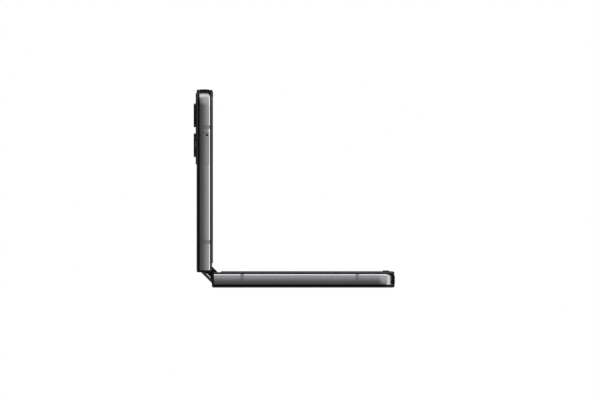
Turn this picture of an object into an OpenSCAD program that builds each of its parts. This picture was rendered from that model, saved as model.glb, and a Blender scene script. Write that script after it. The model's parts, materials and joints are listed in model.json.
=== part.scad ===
// Clamshell folding phone, half open, resting on the back of its lower half.
// Each half is drawn lying flat: x runs from its hinge end to its free end, z from its back to its screen.
// The spine is drawn as in the flat phone: z = 0 is the plane of the halves' backs, x = 0 their middle.

/* [Halves] */
// Length of one half, from its hinge end to its free end
half_l = 82.6; // [80:0.1:90]
// Width across the two side walls
half_w = 71.9; // [71:0.1:76]
// Thickness of one half, from its back to the surface of its screen
half_t = 7; // [6.95:0.05:7.6]
// Radius of the two corners at the free end, seen from the front
corner_r = 7.5; // [6:0.1:9]
// Thickness of the metal side walls
wall = 1.35; // [1.3:0.05:1.45]
// Height of the slant cut along the frame's edge on the screen side
edge_cut = 0.45; // [0.3:0.05:0.6]
// Depth of that cut
edge_in = 0.36; // [0.2:0.02:0.4]
// Thickness of the plate inside the frame that carries the screen
mid_t = 0.75; // [0.6:0.05:0.8]
// Thickness of the back glass
glass_t = 0.7; // [0.6:0.05:0.75]
// How far the back glass is drawn in round its edge, at the back
glass_round = 1; // [0.6:0.05:1.2]
// Thickness of the black seal between the back glass and the frame
seal_t = 0.45; // [0.35:0.05:0.5]
// Length of the black cap on each hinge end
cap_l = 0.96; // [0.8:0.02:1.2]
// Height of the black cap's bar across the back of the hinge end
cap_bar_t = 1.1; // [0.9:0.05:1.15]
// Rounding of the black cap's corner at the back
cap_round = 0.9; // [0.5:0.05:0.9]
// Length of the beam across each half that carries the hinge
beam_l = 3.6; // [3.4:0.1:5]

/* [Screen] */
// Height of the black rim's base, from the metal frame to the screen's surface
base_h = 0.92; // [0.88:0.02:1]
// Width of the rim's base
base_w = 1.65; // [1.55:0.05:1.75]
// Width of the raised lip around the screen
lip_w = 2.35; // [2.2:0.05:2.6]
// Height of the raised lip over the screen
lip_h = 0.43; // [0.35:0.01:0.48]
// How far the lip's outer face slopes in over its height
lip_slope = 0.6; // [0.2:0.05:0.65]
// Distance from the wall's face to the rim's outer face
rim_in = 0.4; // [0.3:0.02:0.45]
// Distance from each hinge end to the start of the raised lip
lip_start = 4.15; // [4.1:0.05:5]
// Height of the groove between the metal frame and the rim
groove_h = 0.42; // [0.2:0.02:0.5]
// Depth of that groove
groove_d = 0.1; // [0.05:0.05:0.35]
// Distance from each hinge end to the stiff part of the screen
screen_start = 4.3; // [4.25:0.05:4.6]
// Thickness of the screen
screen_t = 0.4; // [0.35:0.01:0.42]
// Thickness of the steel plate behind the screen
backing_t = 0.45; // [0.3:0.01:0.47]
// Length of the rubber buffers on the lip
buffer_l = 3.4; // [2.5:0.1:4.5]
// Width of the rubber buffers
buffer_w = 1.3; // [1:0.1:1.5]
// Height of the lower half's buffers over the lip
lower_buffer_h = 0.33; // [0.2:0.01:0.36]
// Height of the upper half's flat buffers over the lip
upper_buffer_h = 0.08; // [0.04:0.01:0.2]
// Place of the lower half's buffers round the corner, from the side wall
lower_buffer_turn = 36; // [25:1:65]
// Place of the upper half's buffers round the corner, from the side wall
upper_buffer_turn = 62; // [25:1:65]

/* [Hinge] */
// Distance between the two hinge axes
axis_gap = 3.6; // [3.58:0.01:3.62]
// Depth of the hinge axes under the screen's surface
axis_depth = 0.926; // [0.91:0.001:0.94]
// Gap between the two halves when the phone is flat
flat_gap = 0.12; // [0.1:0.01:0.14]
// Distance from the backs of the halves to the spine's outer face when the phone is flat
spine_sink = 2; // [1.9:0.01:2.05]
// Thickness of the spine cover
spine_wall = 0.5; // [0.4:0.01:0.55]
// Gap between the spine cover's round sides and the seals of the halves
spine_run = 0.17; // [0.14:0.01:0.25]
// Height of the spine cover's sides over the plane of the backs
spine_side = 4.9; // [4.7:0.05:5]
// Gap between the ends of the spine and the screen's rims
spine_end_gap = 0.2; // [0.15:0.01:0.3]
// Height of the metal end walls of the spine cover
spine_end_h = 1.6; // [1.2:0.05:1.9]
// Thickness of the spine's end walls and end caps
spine_end_t = 1.7; // [1.4:0.05:2]
// Half width of the cap at each end of the spine that shields the folding screen
shield_hw = 3.8; // [3.4:0.05:3.8]
// Thickness of that cap's head
shield_t = 0.8; // [0.5:0.05:0.8]
// Radius of the curved tongues that turn the halves about the hinge axes
tongue_r = 3; // [2.9:0.01:3.02]
// Thickness of the curved tongues
tongue_t = 0.6; // [0.4:0.01:0.62]
// Width of each curved tongue
tongue_w = 2.6; // [2:0.1:3]
// Running gap on each side of a tongue, a gear or a pin
run_gap = 0.07; // [0.05:0.01:0.08]
// Distance of the two hinge modules from the middle
module_y = 22; // [20:0.5:24]
// Length of each hinge module
module_l = 12; // [11.5:0.1:13]
// Thickness of the hinge leaves
leaf_t = 0.73; // [0.6:0.01:0.75]
// Gap between the spine's round sides and the beams
beam_gap = 0.7; // [0.6:0.05:0.9]
// Gap between the beams and what lies behind them
room_gap = 0.8; // [0.4:0.05:1.2]
// Half width of the ridge under the fold
ridge_hw = 1.15; // [1:0.05:1.2]
// Thickness of the steel strip on that ridge
support_t = 0.25; // [0.15:0.01:0.28]
// Room between that strip and the folding screen
support_gap = 0.3; // [0.25:0.01:0.4]
// Room between the top of the spine's core and the frames' plates
core_gap = 0.73; // [0.7:0.01:0.9]
// Radius of the small screws
screw_r = 0.5; // [0.4:0.02:0.55]
// Distance between the screws of a hinge module and its ends
screw_in = 1.8; // [1.4:0.1:2.2]
// Distance of the spine's screws from its middle
spine_screw_x = 2.6; // [2.5:0.05:2.7]
// Distance of those screws from the ends of their module
spine_screw_in = 1; // [0.9:0.05:1.1]

/* [Synchronising gears] */
// Distance of each arm's pivot from its hinge axis, outwards and downwards alike
arm_offset = 1.8; // [1.77:0.01:1.82]
// Teeth on each gear
gear_teeth = 10; // [10:4:14]
// Thickness of the gears and arms
gear_l = 2.2; // [1.8:0.1:2.4]
// Length of each arm from its pivot
arm_l = 7.6; // [7.4:0.1:8]
// Thickness of each arm
arm_t = 0.7; // [0.5:0.05:0.75]
// Room on each side of a gear and above its arm
gear_room = 0.4; // [0.3:0.05:0.45]
// Thickness of the plates that hold the gear pins
plate_t = 1.6; // [1.2:0.1:1.7]
// Radius of the gear pins
pin_r = 0.35; // [0.3:0.01:0.4]
// Radius of the arms' shafts
shaft_r = 0.5; // [0.45:0.01:0.55]
// Half length of the arms' shafts
shaft_hl = 13; // [12.5:0.1:13.5]
// Thickness of each friction clip
clip_l = 1.2; // [1:0.1:1.4]
// Thickness of the clips' ring
clip_t = 0.48; // [0.35:0.01:0.5]
// Distance between friction clips
clip_step = 2; // [1.8:0.1:2.2]

/* [Lower half] */
// Distance between the lower battery and each side wall
lower_battery_side = 4.6; // [2:0.1:8]
// Distance between the lower battery and the board
lower_battery_gap = 3.75; // [1:0.05:6]
// Outer radius of the charging coil
coil_r = 20; // [16:0.5:23]
// Inner radius of the charging coil
coil_bore_r = 11; // [8:0.5:14]
// Thickness of the charging coil
coil_t = 0.6; // [0.4:0.05:0.65]
// Thickness of both circuit boards
board_t = 0.8; // [0.6:0.05:0.9]
// Distance between the boards and the side walls
board_side = 2.4; // [2:0.1:2.6]
// Distance between the boards and the wall at the free end
board_gap = 0.5; // [0.3:0.05:0.8]
// Distance from the free end to the boards' screws
board_screw_in = 14; // [13:0.1:15]
// Distance from the side walls' faces to the boards' screws
board_screw_side = 4.2; // [4:0.1:5]
// Length of the lower circuit board
sub_board_l = 17.4; // [15:0.1:18]
// Width of the socket's mouth at the free end
port_w = 8.94; // [8.8:0.01:9]
// Height of the socket's mouth
port_h = 3.26; // [3.1:0.01:3.3]
// Length of the socket
port_l = 7.3; // [6.5:0.1:8]
// Thickness of the socket's steel shell
port_wall = 0.3; // [0.2:0.01:0.35]
// Width of the tongue in the socket
tongue_port_w = 6.6; // [5.5:0.1:7]
// Thickness of the tongue in the socket
tongue_port_t = 0.7; // [0.5:0.05:0.8]
// Number of sound slots at the free end
slot_count = 6; // [3:1:7]
// Distance from the side wall's face to the outermost sound slot
slot_side = 9.95; // [9.7:0.05:11]
// Length of each sound slot
slot_l = 1.9; // [1.4:0.05:2]
// Height of each sound slot
slot_h = 1.1; // [0.8:0.05:1.2]
// Distance between the sound slots
slot_step = 2.6; // [2.4:0.1:2.8]
// Radius of the holes for the microphones
mic_r = 0.5; // [0.3:0.02:0.6]
// Place of those holes, from the middle
mic_y = 10; // [8:0.1:10.5]
// Length of the loudspeaker
speaker_l = 14.25; // [11:0.05:14.4]
// How far the loudspeaker reaches past the slots' middles
speaker_side = 2; // [1.5:0.1:2.4]
// Radius of the vibration motor
motor_r = 4.5; // [3.5:0.1:5]
// Distance from the free end to the middle of the vibration motor
motor_in = 11; // [8:0.1:11.5]
// Distance from the side wall's face to the middle of the vibration motor
motor_side = 14.95; // [13:0.05:20]

/* [Upper half] */
// Distance between the upper battery and each side wall
upper_battery_side = 5.6; // [3.5:0.1:8]
// Distance between the upper battery and the board
upper_battery_gap = 2.15; // [1:0.05:5]
// Distance from the top edge to the black window
window_inset = 1.6; // [1.4:0.05:2]
// Length of the black window on the back
window_l = 32.4; // [32.2:0.1:34]
// Height of the black window over the back glass
window_rise = 0.4; // [0.2:0.01:0.5]
// Outer radius of the camera rings
ring_r = 5.35; // [5:0.05:5.6]
// Bore radius of the camera rings
ring_bore_r = 4.35; // [4.2:0.05:4.5]
// Height of the camera rings over the window
ring_rise = 0.9; // [0.6:0.05:1.2]
// Distance from the top edge to the first camera
camera_top = 11.8; // [11.6:0.05:12.4]
// Distance between the two cameras
camera_step = 13.46; // [13.2:0.01:13.8]
// Distance from the side wall's face to the middle of the cameras
camera_side = 11.35; // [11:0.05:13]
// Width of the camera modules
camera_w = 9.2; // [8.8:0.1:9.4]
// Thickness of the camera lenses
lens_t = 0.6; // [0.4:0.05:0.7]
// Depth of the camera lenses in their rings
lens_sink = 0.25; // [0.1:0.05:0.4]
// Distance between the window's edges and the screen under it
cover_in = 3; // [2:0.1:5]
// Radius of the lamp lens beside the cameras
lamp_r = 1.7; // [1.2:0.1:2]
// Radius of the camera hole in the main screen
selfie_r = 1.9; // [1.6:0.05:2.2]
// Distance between a camera ring and the middle of the lamp lens
lamp_gap = 3.4; // [2.5:0.1:5]
// Thickness of the lamp lens
lamp_t = 0.04; // [0.03:0.01:0.06]
// Distance from the top edge to the camera hole in the main screen
selfie_top = 6.2; // [5.8:0.05:6.6]
// Depth of the front camera under the frame's plate
selfie_depth = 1.6; // [1:0.05:2]
// Length of the sound slit in the upper lip
slit_l = 11; // [8:0.1:14]
// Width of the sound slit
slit_w = 0.6; // [0.4:0.05:0.7]
// Length of the earpiece
earpiece_l = 8; // [6:0.1:8.4]
// Width of the earpiece
earpiece_w = 10.1; // [8:0.1:11]
// Distance between the front camera and the earpiece
earpiece_gap = 6; // [4:0.1:7]
// Height of the earpiece
earpiece_h = 2.5; // [2:0.05:2.8]
// Length of the upper circuit board
main_board_l = 34; // [33:0.1:35]
// Width of the steel can
can_w = 25; // [20:0.1:25.6]
// Height of the steel can
can_h = 1.85; // [1.5:0.05:2]
// Thickness of its steel
can_t = 0.2; // [0.1:0.01:0.25]
// Distance between the board's inner edge and the can
can_in = 1.85; // [1:0.05:3]
// Distance between the board's outer edge and the can
can_out = 11.15; // [10.8:0.05:14]
// Distance of the can from the middle of the width, towards the tray
can_y = 2.5; // [1.5:0.1:3]

/* [Keys and tray] */
// Length of the volume key
volume_l = 17; // [14:0.1:18]
// Distance from the top edge to the middle of the volume key
volume_top = 27.5; // [27:0.1:29]
// Length of the power key
power_l = 12; // [10:0.1:14]
// Distance from the top edge to the middle of the power key
power_top = 46.6; // [46:0.1:48]
// Height of both keys
key_h = 2.2; // [1.8:0.05:2.4]
// How far the volume key stands out of the wall
volume_rise = 0.45; // [0.3:0.01:0.6]
// How far the power key stands out of the wall
power_rise = 0.28; // [0.26:0.01:0.5]
// How far each key's flange reaches past its hole
flange_w = 0.4; // [0.3:0.05:0.45]
// Thickness of that flange
flange_t = 0.6; // [0.4:0.05:0.7]
// Length of the small switches behind the keys
switch_l = 3.2; // [2.6:0.1:3.6]
// Thickness of the switches
switch_t = 1.1; // [0.8:0.05:1.2]
// Distance between the two switches of the volume key
switch_step = 10; // [8:0.1:11]
// Length of the card tray's door
tray_l = 14.2; // [14:0.05:14.6]
// Height of the card tray's door
tray_h = 3.9; // [3.7:0.05:3.9]
// Distance from the top edge to the door
tray_top = 19.76; // [19.6:0.02:20]
// Thickness of the card tray
tray_t = 0.8; // [0.6:0.05:0.85]
// Length of the pocket for the card
card_l = 8.9; // [8.8:0.05:9.1]
// Width of the pocket for the card
card_w = 11.8; // [11.4:0.05:12]
// Depth of that pocket
card_d = 0.6; // [0.4:0.02:0.62]
// Thickness of the cage's walls
cage_t = 0.3; // [0.2:0.05:0.35]
// How deep the tray reaches behind its door
tray_depth = 14; // [13.5:0.1:14.4]
// Distance from the door's edges to the middle of the pin hole
pin_in = 0.95; // [0.9:0.05:1.3]
// Radius of the pin hole in the door
pin_hole_r = 0.5; // [0.4:0.02:0.55]

/* [Antenna bands] */
// Distance from the hinge end to the middle of the first band
band_near = 13.7; // [13:0.1:14.5]
// Distance from the free end to the middle of the second band
band_far = 17.05; // [16.5:0.05:17.2]
// Width of each band
band_w = 1.6; // [1.2:0.05:1.8]
// Depth of each band in the wall
band_d = 0.7; // [0.5:0.05:0.9]

/* [Hidden] */
$fn = 64;

// Gap between pieces that are glued or seated on each other
seat = 0.03;
// Gap between a loose piece and the opening that it fills
fit_gap = 0.1;
// A cut starts this far outside the solid that it goes through
over = 1;

// The hinge: both axes run along y, one for each half
axis_x = axis_gap / 2;
axis_u = axis_x - flat_gap / 2;
axis_z = half_t - axis_depth;
corner_u = axis_depth + axis_u - sqrt(2) * axis_x;

// The layers of each half
half_hw = half_w / 2;
glass_zs = [for (turn = [0:30:90]) glass_t * (1 - cos(turn))];
glass_ins = [for (turn = [0:30:90]) glass_round * (1 - sin(turn))];
seal_in = 0.2;
seal_top = glass_t + seal_t;
frame_top = half_t - base_h;
mid_z = frame_top - mid_t;
side_u = cap_l + seat;
room_top = mid_z - 2 * seat;
plate_z = half_t - screen_t - backing_t - seat;
ledge_z = half_t + seat;
ledge_in = rim_in + lip_slope / 5;
groove_top = frame_top + groove_h;

// The spine and the beams that it clears
spine_r = axis_z - seal_top - spine_run;
spine_hl = half_hw - base_w - spine_end_gap;
beam_u = axis_u + spine_r + beam_gap;
beam_end = beam_u + beam_l;
room_u = beam_end + room_gap;
core_top = mid_z - core_gap;
fold_hx = screen_start + flat_gap / 2 - 0.05;
support_top = half_t - screen_t - support_gap;
shield_in = spine_hl - spine_end_t;

// The hinge leaves and the screws
leaf_z = frame_top - seat - leaf_t;
leaf_screw_u = beam_u + beam_l / 2 - 0.1;
leaf_screw_y = module_l / 2 - screw_in;
screw_low = seal_top + 1;
spine_screw_y = module_l / 2 - spine_screw_in;
tongue_y = tongue_w / 2 + 0.6;
leaf_end = beam_end - 0.5;

// The gears: two on the arms and two between them, in one row
gear_x = (axis_x + arm_offset) / 3;
gear_z = axis_z - arm_offset;
gear_tip = gear_x * 1.17;
gear_root = gear_x * 0.78;
gear_side = gear_l / 2 + gear_room;
clip_y = gear_l / 2 + plate_t + clip_l + 0.6;
arm_side = arm_t / 2 + gear_room / 2;

// The free end of each half
free_in = half_l - wall;
port_z = (seal_top + room_top) / 2 + 0.3;
port_in = 0.25;
slot_y = half_hw - slot_side;
speaker_y = [slot_y - (slot_count - 1) * slot_step - speaker_side, slot_y + speaker_side];
board_z = room_top - board_t;
board_end = free_in - board_gap;
board_screw_u = half_l - board_screw_in;
board_screw_y = half_hw - board_screw_side;
lower_battery_l = board_end - sub_board_l - lower_battery_gap - room_u;
upper_battery_l = board_end - main_board_l - upper_battery_gap - room_u;
can_l = main_board_l - can_in - can_out;
window_u = half_l - window_inset - window_l;
window_end = half_l - window_inset;
camera_u = [half_l - camera_top, half_l - camera_top - camera_step];
camera_y = half_hw - camera_side;
camera_out = window_rise + ring_rise;
selfie_u = half_l - selfie_top;
key_z = (seal_top + frame_top) / 2;
volume_u = half_l - volume_top;
power_u = half_l - power_top;
tray_u = half_l - tray_top - tray_l / 2;
tray_z = key_z + 0.1;
card_z = seal_top + 2.25;
bands = [band_near, half_l - band_far];
sides = [-1, 1];
module_ys = [-module_y, module_y];

// Puts a shape drawn for the lower half in its place
module place_lower() {
    translate([-half_l / 2, 0, 0]) children();
}

// Puts a shape drawn for the upper half in its place, upright and mirrored about the fold
module place_upper() {
    translate([corner_u - half_l / 2, 0, half_t])
        mirror([1, 0, -1])
            translate([-corner_u, 0, -half_t]) children();
}

// Puts a shape drawn for the flat spine in its place, turned half way between the halves
module place_spine() {
    translate([axis_u - half_l / 2 - (axis_x + axis_z) / sqrt(2), 0, axis_z - (axis_z - axis_x) / sqrt(2)])
        rotate([0, 45, 0]) children();
}

// Outline of a half seen from the front, drawn in by inset, with its free corners round
module outline(from, inset = 0, to = half_l) {
    hw = half_hw - inset;
    end = to - inset;
    r = corner_r - inset;
    translate([from, -hw]) square([end - r - from, 2 * hw]);
    translate([from, r - hw]) square([end - from, 2 * (hw - r)]);
    for (s = sides) translate([end - r, s * (hw - r)]) circle(r);
}

// A slab with the outline of a half
module slab(from, z, t, inset = 0) {
    translate([0, 0, z]) linear_extrude(t) outline(from, inset);
}

// A slab whose outer edges slope, drawn in by low at its bottom and by high at its top
module sloped_slab(from, z, t, low, high) {
    r = corner_r;
    translate([from, 0, z]) rotate([90, 0, 90]) linear_extrude(half_l - r - from)
        polygon([[low - half_hw, 0], [half_hw - low, 0], [half_hw - high, t], [high - half_hw, t]]);
    translate([0, half_hw - r, z]) rotate([90, 0, 0]) linear_extrude(half_w - 2 * r)
        polygon([[from, 0], [half_l - low, 0], [half_l - high, t], [from, t]]);
    for (s = sides) translate([half_l - r, s * (half_hw - r), z])
        cylinder(r1 = r - low, r2 = r - high, h = t);
}

// A bar along y, drawn in the plane of x and z
module bar(y, l) {
    translate([0, y + l, 0]) rotate([90, 0, 0]) linear_extrude(l) children();
}

// A round bar along y
module rod(x, y, z, r, l) {
    translate([x, y, z]) rotate([-90, 0, 0]) cylinder(r = r, h = l);
}

// A long hole or key with round ends, its length along x and its depth along y
module stadium(x, y, z, l, h, d) {
    bar_l = l - h;
    translate([x - bar_l / 2, y, z - h / 2]) cube([bar_l, d, h]);
    for (s = sides) rod(x + s * bar_l / 2, y, z, h / 2, d);
}

// A block from one corner to the opposite one
module block(low, high) {
    translate(low) cube(high - low);
}

// The slots for the antenna bands, or the bands that fill them when they are drawn in by a gap
module band_shapes(gap) {
    for (u = bands, s = sides)
        translate([u, s * (half_hw + (over - band_d) / 2), (seal_top + frame_top) / 2])
            cube([band_w - 2 * gap, band_d + over, frame_top - seal_top + 2 * over], center = true);
}

// The metal frame that both halves share: side walls, hinge beam and screen carrier
module frame_blank() {
    difference() {
        union() {
            slab(side_u, seal_top, frame_top - edge_cut - seal_top);
            sloped_slab(side_u, frame_top - edge_cut, edge_cut, 0, edge_in);
        }
        translate([0, 0, seal_top - over]) linear_extrude(mid_z - seal_top + over) outline(beam_end, wall);
        block([0, wall - half_hw, seal_top - over], [beam_u, half_hw - wall, frame_top + over]);
        band_shapes(0);
        for (y = module_ys)
            block([beam_u - over, y - module_l / 2 - fit_gap, leaf_z - seat],
                [leaf_end + 0.2, y + module_l / 2 + fit_gap, frame_top + over]);
        for (y = module_ys, s = sides) translate([leaf_screw_u, y + s * leaf_screw_y, screw_low])
            cylinder(r = screw_r + seat, h = half_t);
        block([beam_u - over, -gear_side, gear_z - arm_offset * (sqrt(2) - 1) - arm_side],
            [beam_end + over, gear_side, gear_z + arm_side]);
        for (s = sides) translate([board_screw_u, s * board_screw_y, mid_z - over])
            cylinder(r = screw_r + seat, h = mid_t + 2 * over);
    }
}

// A slot with round ends through the wall at the free end
module free_slot(y, l, h) {
    translate([free_in - over, y, 0]) rotate([0, 0, -90]) stadium(0, 0, port_z, l, h, wall + 2 * over);
}

// The hole of a microphone through the same wall
module mic_hole(y) {
    translate([free_in - over, y, port_z]) rotate([0, 90, 0]) cylinder(r = mic_r, h = wall + 2 * over);
}

// The seal follows the side walls and the beam
module seal() {
    difference() {
        slab(side_u, glass_t, seal_t, seal_in);
        translate([0, 0, glass_t - over]) linear_extrude(seal_t + 2 * over) outline(beam_end, wall);
        block([0, wall - half_hw, glass_t - over], [beam_u, half_hw - wall, seal_top + over]);
    }
}

// The black rim round the screen, with its groove, its ledge and the raised lip
module rim() {
    difference() {
        union() {
            slab(side_u, frame_top, groove_h, rim_in + groove_d);
            sloped_slab(side_u, groove_top, ledge_z - groove_top, rim_in, ledge_in);
            sloped_slab(lip_start, ledge_z, half_t + lip_h - ledge_z, ledge_in, rim_in + lip_slope);
        }
        translate([0, 0, frame_top - over]) linear_extrude(base_h + over + seat / 2) outline(0, base_w);
        translate([0, 0, half_t - over]) linear_extrude(lip_h + 2 * over) outline(lip_start, lip_w);
        translate([0, 0, frame_top - over])
            linear_extrude(half_t)
                translate([-over, base_w - half_hw]) square([lip_start + over, half_w - 2 * base_w]);
    }
}

// The black cap on a hinge end: two posts and a bar across the back
module end_cap() {
    top_in = sqrt(pow(axis_u, 2) - pow(axis_u - cap_l, 2));
    for (s = sides) bar(s * (half_hw - wall / 2) - wall / 2, wall) intersection() {
        union() {
            translate([cap_round, cap_round]) circle(cap_round);
            translate([0, cap_round]) square([cap_l, axis_z - cap_round]);
            translate([cap_round, 0]) square([cap_l - cap_round + over, cap_round + over]);
            intersection() {
                translate([axis_u, axis_z]) circle(axis_u);
                translate([0, axis_z - 0.1]) square([cap_l, top_in + over]);
            }
        }
        square([cap_l, ledge_z]);
    }
    bar(-half_hw, half_w) intersection() {
        union() {
            translate([cap_round, cap_round]) circle(cap_round);
            translate([0, cap_round]) square([cap_l, cap_bar_t]);
            translate([cap_round, 0]) square([cap_l, cap_bar_t]);
        }
        square([cap_l, cap_bar_t]);
    }
}

// The back glass, with its outer edge rounded towards the back in three steps
module back_glass() {
    for (i = [0:2])
        sloped_slab(side_u, glass_zs[i], glass_zs[i + 1] - glass_zs[i], glass_ins[i], glass_ins[i + 1]);
}

// The stiff part of the screen
module screen_panel() {
    slab(screen_start, half_t - screen_t, screen_t, base_w + fit_gap);
}

// The steel plate behind it
module screen_plate() {
    slab(screen_start + 0.06, plate_z, backing_t, base_w + fit_gap + 0.1);
}

// Two rubber buffers on the round corners of the lip, turned from the side walls by an angle
module buffers(turn, h) {
    middle_r = corner_r - (rim_in + lip_slope + lip_w) / 2;
    span = (buffer_l - buffer_w) / middle_r * 180 / PI;
    for (s = sides)
        translate([half_l - corner_r, s * (half_hw - corner_r), half_t + lip_h + seat / 3])
            mirror([0, s < 0 ? 1 : 0, 0])
                rotate([0, 0, 90 - turn - span / 2]) {
                    rotate_extrude(angle = span)
                        translate([middle_r - buffer_w / 2, 0]) square([buffer_w, h]);
                    for (end = [0, span]) rotate([0, 0, end])
                        translate([middle_r, 0, 0]) cylinder(d = buffer_w, h = h);
                }
}

// A leaf and its curved tongue for each hinge module; side is the tongue's place along y
module hinge_leaves(side) {
    start = -140;
    root = -8;
    for (y = module_ys) {
        difference() {
            block([axis_u + tongue_r * cos(root) - tongue_t / 2, y - module_l / 2, leaf_z],
                [leaf_end, y + module_l / 2, leaf_z + leaf_t]);
            for (s = sides) translate([leaf_screw_u, y + s * leaf_screw_y, leaf_z - over])
                cylinder(r = screw_r + 2 * seat, h = leaf_t + 2 * over);
        }
        translate([axis_u, y + side * tongue_y + tongue_w / 2, axis_z])
            rotate([90, 0, 0])
                rotate([0, 0, start])
                    rotate_extrude(angle = root - start)
                        translate([tongue_r - tongue_t / 2, 0]) square([tongue_t, tongue_w]);
    }
}

// Countersunk screws that hold the leaves to the beam and the board to the frame
module half_screws() {
    for (y = module_ys, s = sides) translate([leaf_screw_u, y + s * leaf_screw_y, screw_low + 0.3])
        cylinder(r = screw_r, h = leaf_z + leaf_t - screw_low - 0.3);
    for (s = sides) translate([board_screw_u, s * board_screw_y, 0]) {
        translate([0, 0, board_z - screw_r]) cylinder(r = 2 * screw_r, h = screw_r - seat);
        translate([0, 0, board_z - 0.1]) cylinder(r = screw_r, h = frame_top - board_z);
    }
}

// Outline of a circuit board, inside the walls and the free end
module board(l) {
    difference() {
        translate([0, 0, board_z]) linear_extrude(board_t) outline(board_end - l, wall + board_side);
        for (s = sides) translate([board_screw_u, s * board_screw_y, board_z - over])
            cylinder(r = screw_r + 2 * seat, h = board_t + 2 * over);
    }
}

module lower_frame() color([0.62, 0.62, 0.64]) place_lower() difference() {
    frame_blank();
    free_slot(0, port_w + 0.16, port_h + 0.16);
    for (i = [0:slot_count - 1]) free_slot(slot_y - i * slot_step, slot_l, slot_h);
    mic_hole(-mic_y);
}

module lower_antenna_bands() color([0.5, 0.5, 0.51]) place_lower() bands();

// Antenna bands, trimmed to the frame's own outer shape
module bands() {
    intersection() {
        band_shapes(seat / 2);
        union() {
            slab(side_u, seal_top, frame_top - edge_cut - seal_top);
            sloped_slab(side_u, frame_top - edge_cut, edge_cut, 0, edge_in);
        }
    }
}

module lower_back_glass() color([0.2, 0.2, 0.21]) place_lower() back_glass();

module lower_seal() color([0.05, 0.05, 0.05]) place_lower() seal();

module lower_rim() color([0.2, 0.19, 0.22]) place_lower() rim();

module lower_end_cap() color([0.06, 0.06, 0.06]) place_lower() end_cap();

module lower_screen() color([0.02, 0.02, 0.03]) place_lower() screen_panel();

module lower_screen_plate() color([0.7, 0.7, 0.7]) place_lower() screen_plate();

module lower_battery() color([0.25, 0.25, 0.27]) place_lower()
    battery(lower_battery_l, lower_battery_side, glass_t + coil_t + 0.3);

// A flat battery behind the beam, at a distance from the side walls
module battery(l, side, low) {
    hw = half_hw - wall - side;
    block([room_u, -hw, low], [room_u + l, hw, room_top]);
}

module charging_coil() color([0.72, 0.45, 0.2]) place_lower()
    translate([room_u + lower_battery_l / 2, 0, glass_t + 0.2]) difference() {
        cylinder(r = coil_r, h = coil_t);
        translate([0, 0, -over]) cylinder(r = coil_bore_r, h = coil_t + 2 * over);
    }

module lower_board() color([0.05, 0.2, 0.12]) place_lower() difference() {
    board(sub_board_l);
    block([half_l - port_l - 1, -port_w / 2 - 0.3, 0], [half_l, port_w / 2 + 0.3, half_t]);
}

// Mouth of the charging socket: a long round-ended tube, closed behind
module charging_socket() color([0.75, 0.75, 0.76]) place_lower()
    translate([half_l - port_in - port_l, 0, 0]) rotate([0, 0, -90]) difference() {
        stadium(0, 0, port_z, port_w, port_h, port_l);
        stadium(0, port_wall, port_z, port_w - 2 * port_wall, port_h - 2 * port_wall, port_l);
    }

module socket_tongue() color([0.08, 0.08, 0.08]) place_lower()
    block([half_l - port_in - port_l + port_wall + seat, -tongue_port_w / 2, port_z - tongue_port_t / 2],
        [half_l - 2, tongue_port_w / 2, port_z + tongue_port_t / 2]);

module loudspeaker() color([0.1, 0.1, 0.1]) place_lower() difference() {
    end = free_in - 0.4;
    block([end - speaker_l, speaker_y[0], glass_t + 0.6], [end, speaker_y[1], board_z - fit_gap]);
    block([end - 1, speaker_y[0] + 0.8, port_z - slot_h / 2],
        [free_in, speaker_y[1] - 0.8, port_z + slot_h / 2]);
}

module vibration_motor() color([0.7, 0.7, 0.7]) place_lower()
    translate([half_l - motor_in, motor_side - half_hw, glass_t + 0.8])
        cylinder(r = motor_r, h = board_z - fit_gap - glass_t - 0.8);

module lower_buffers() color([0.12, 0.12, 0.13]) place_lower()
    buffers(lower_buffer_turn, lower_buffer_h);

module lower_screws() color([0.6, 0.6, 0.6]) place_lower() half_screws();

module lower_hinge_leaves() color([0.66, 0.66, 0.68]) place_lower() hinge_leaves(1);

// Outer or inner outline of the spine, flat below and round about each axis at the sides
module spine_shape(r, low, high) {
    intersection() {
        union() {
            for (s = sides) translate([s * axis_x, axis_z]) circle(r);
            translate([-axis_x, axis_z - r]) square([2 * axis_x, 2 * r]);
        }
        translate([-r - axis_x, low]) square([2 * (r + axis_x), high - low]);
    }
}

module spine_cover() color([0.62, 0.62, 0.64]) place_spine() {
    inner_r = spine_r - spine_wall;
    floor_z = spine_sink + spine_wall;
    difference() {
        bar(-spine_hl, 2 * spine_hl) spine_shape(spine_r, spine_sink, spine_side);
        bar(-shield_in, 2 * shield_in) spine_shape(inner_r, floor_z, spine_side + over);
        bar(-spine_hl - over, 2 * (spine_hl + over))
            translate([-half_t, spine_sink + spine_end_h]) difference() {
                square([2 * half_t, half_t]);
                translate([half_t, -spine_sink - spine_end_h]) difference() {
                    spine_shape(spine_r + over, 0, 2 * half_t);
                    spine_shape(inner_r, 0, 2 * half_t);
                }
            }
        block([-half_t, -gear_side, gear_z - arm_side], [half_t, gear_side, half_t]);
        for (y = module_ys, s = sides, t = sides)
            translate([s * spine_screw_x, y + t * spine_screw_y, spine_sink + 0.15])
                cylinder(r = screw_r + seat, h = spine_wall + over);
    }
}

// Outline of what stands in the spine: a core with a ridge under the fold
module core_shape(top, ridge_top) {
    spine_shape(spine_r - spine_wall - seat, spine_sink + spine_wall + seat, top);
    translate([-ridge_hw, axis_z - 3]) square([2 * ridge_hw, ridge_top - axis_z + 3]);
}

// Black end caps: they close the spine and shield the edges of the folding screen
module spine_end_caps() color([0.07, 0.07, 0.08]) place_spine() {
    shield_top = half_t + lip_h;
    for (s = sides) bar(s * (spine_hl - spine_end_t / 2) - spine_end_t / 2, spine_end_t) {
        difference() {
            core_shape(core_top, shield_top - shield_t + 0.1);
            translate([-half_t, 0]) square([2 * half_t, spine_sink + spine_end_h + seat]);
        }
        translate([-shield_hw, shield_top - shield_t]) square([2 * shield_hw, shield_t]);
    }
}

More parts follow.
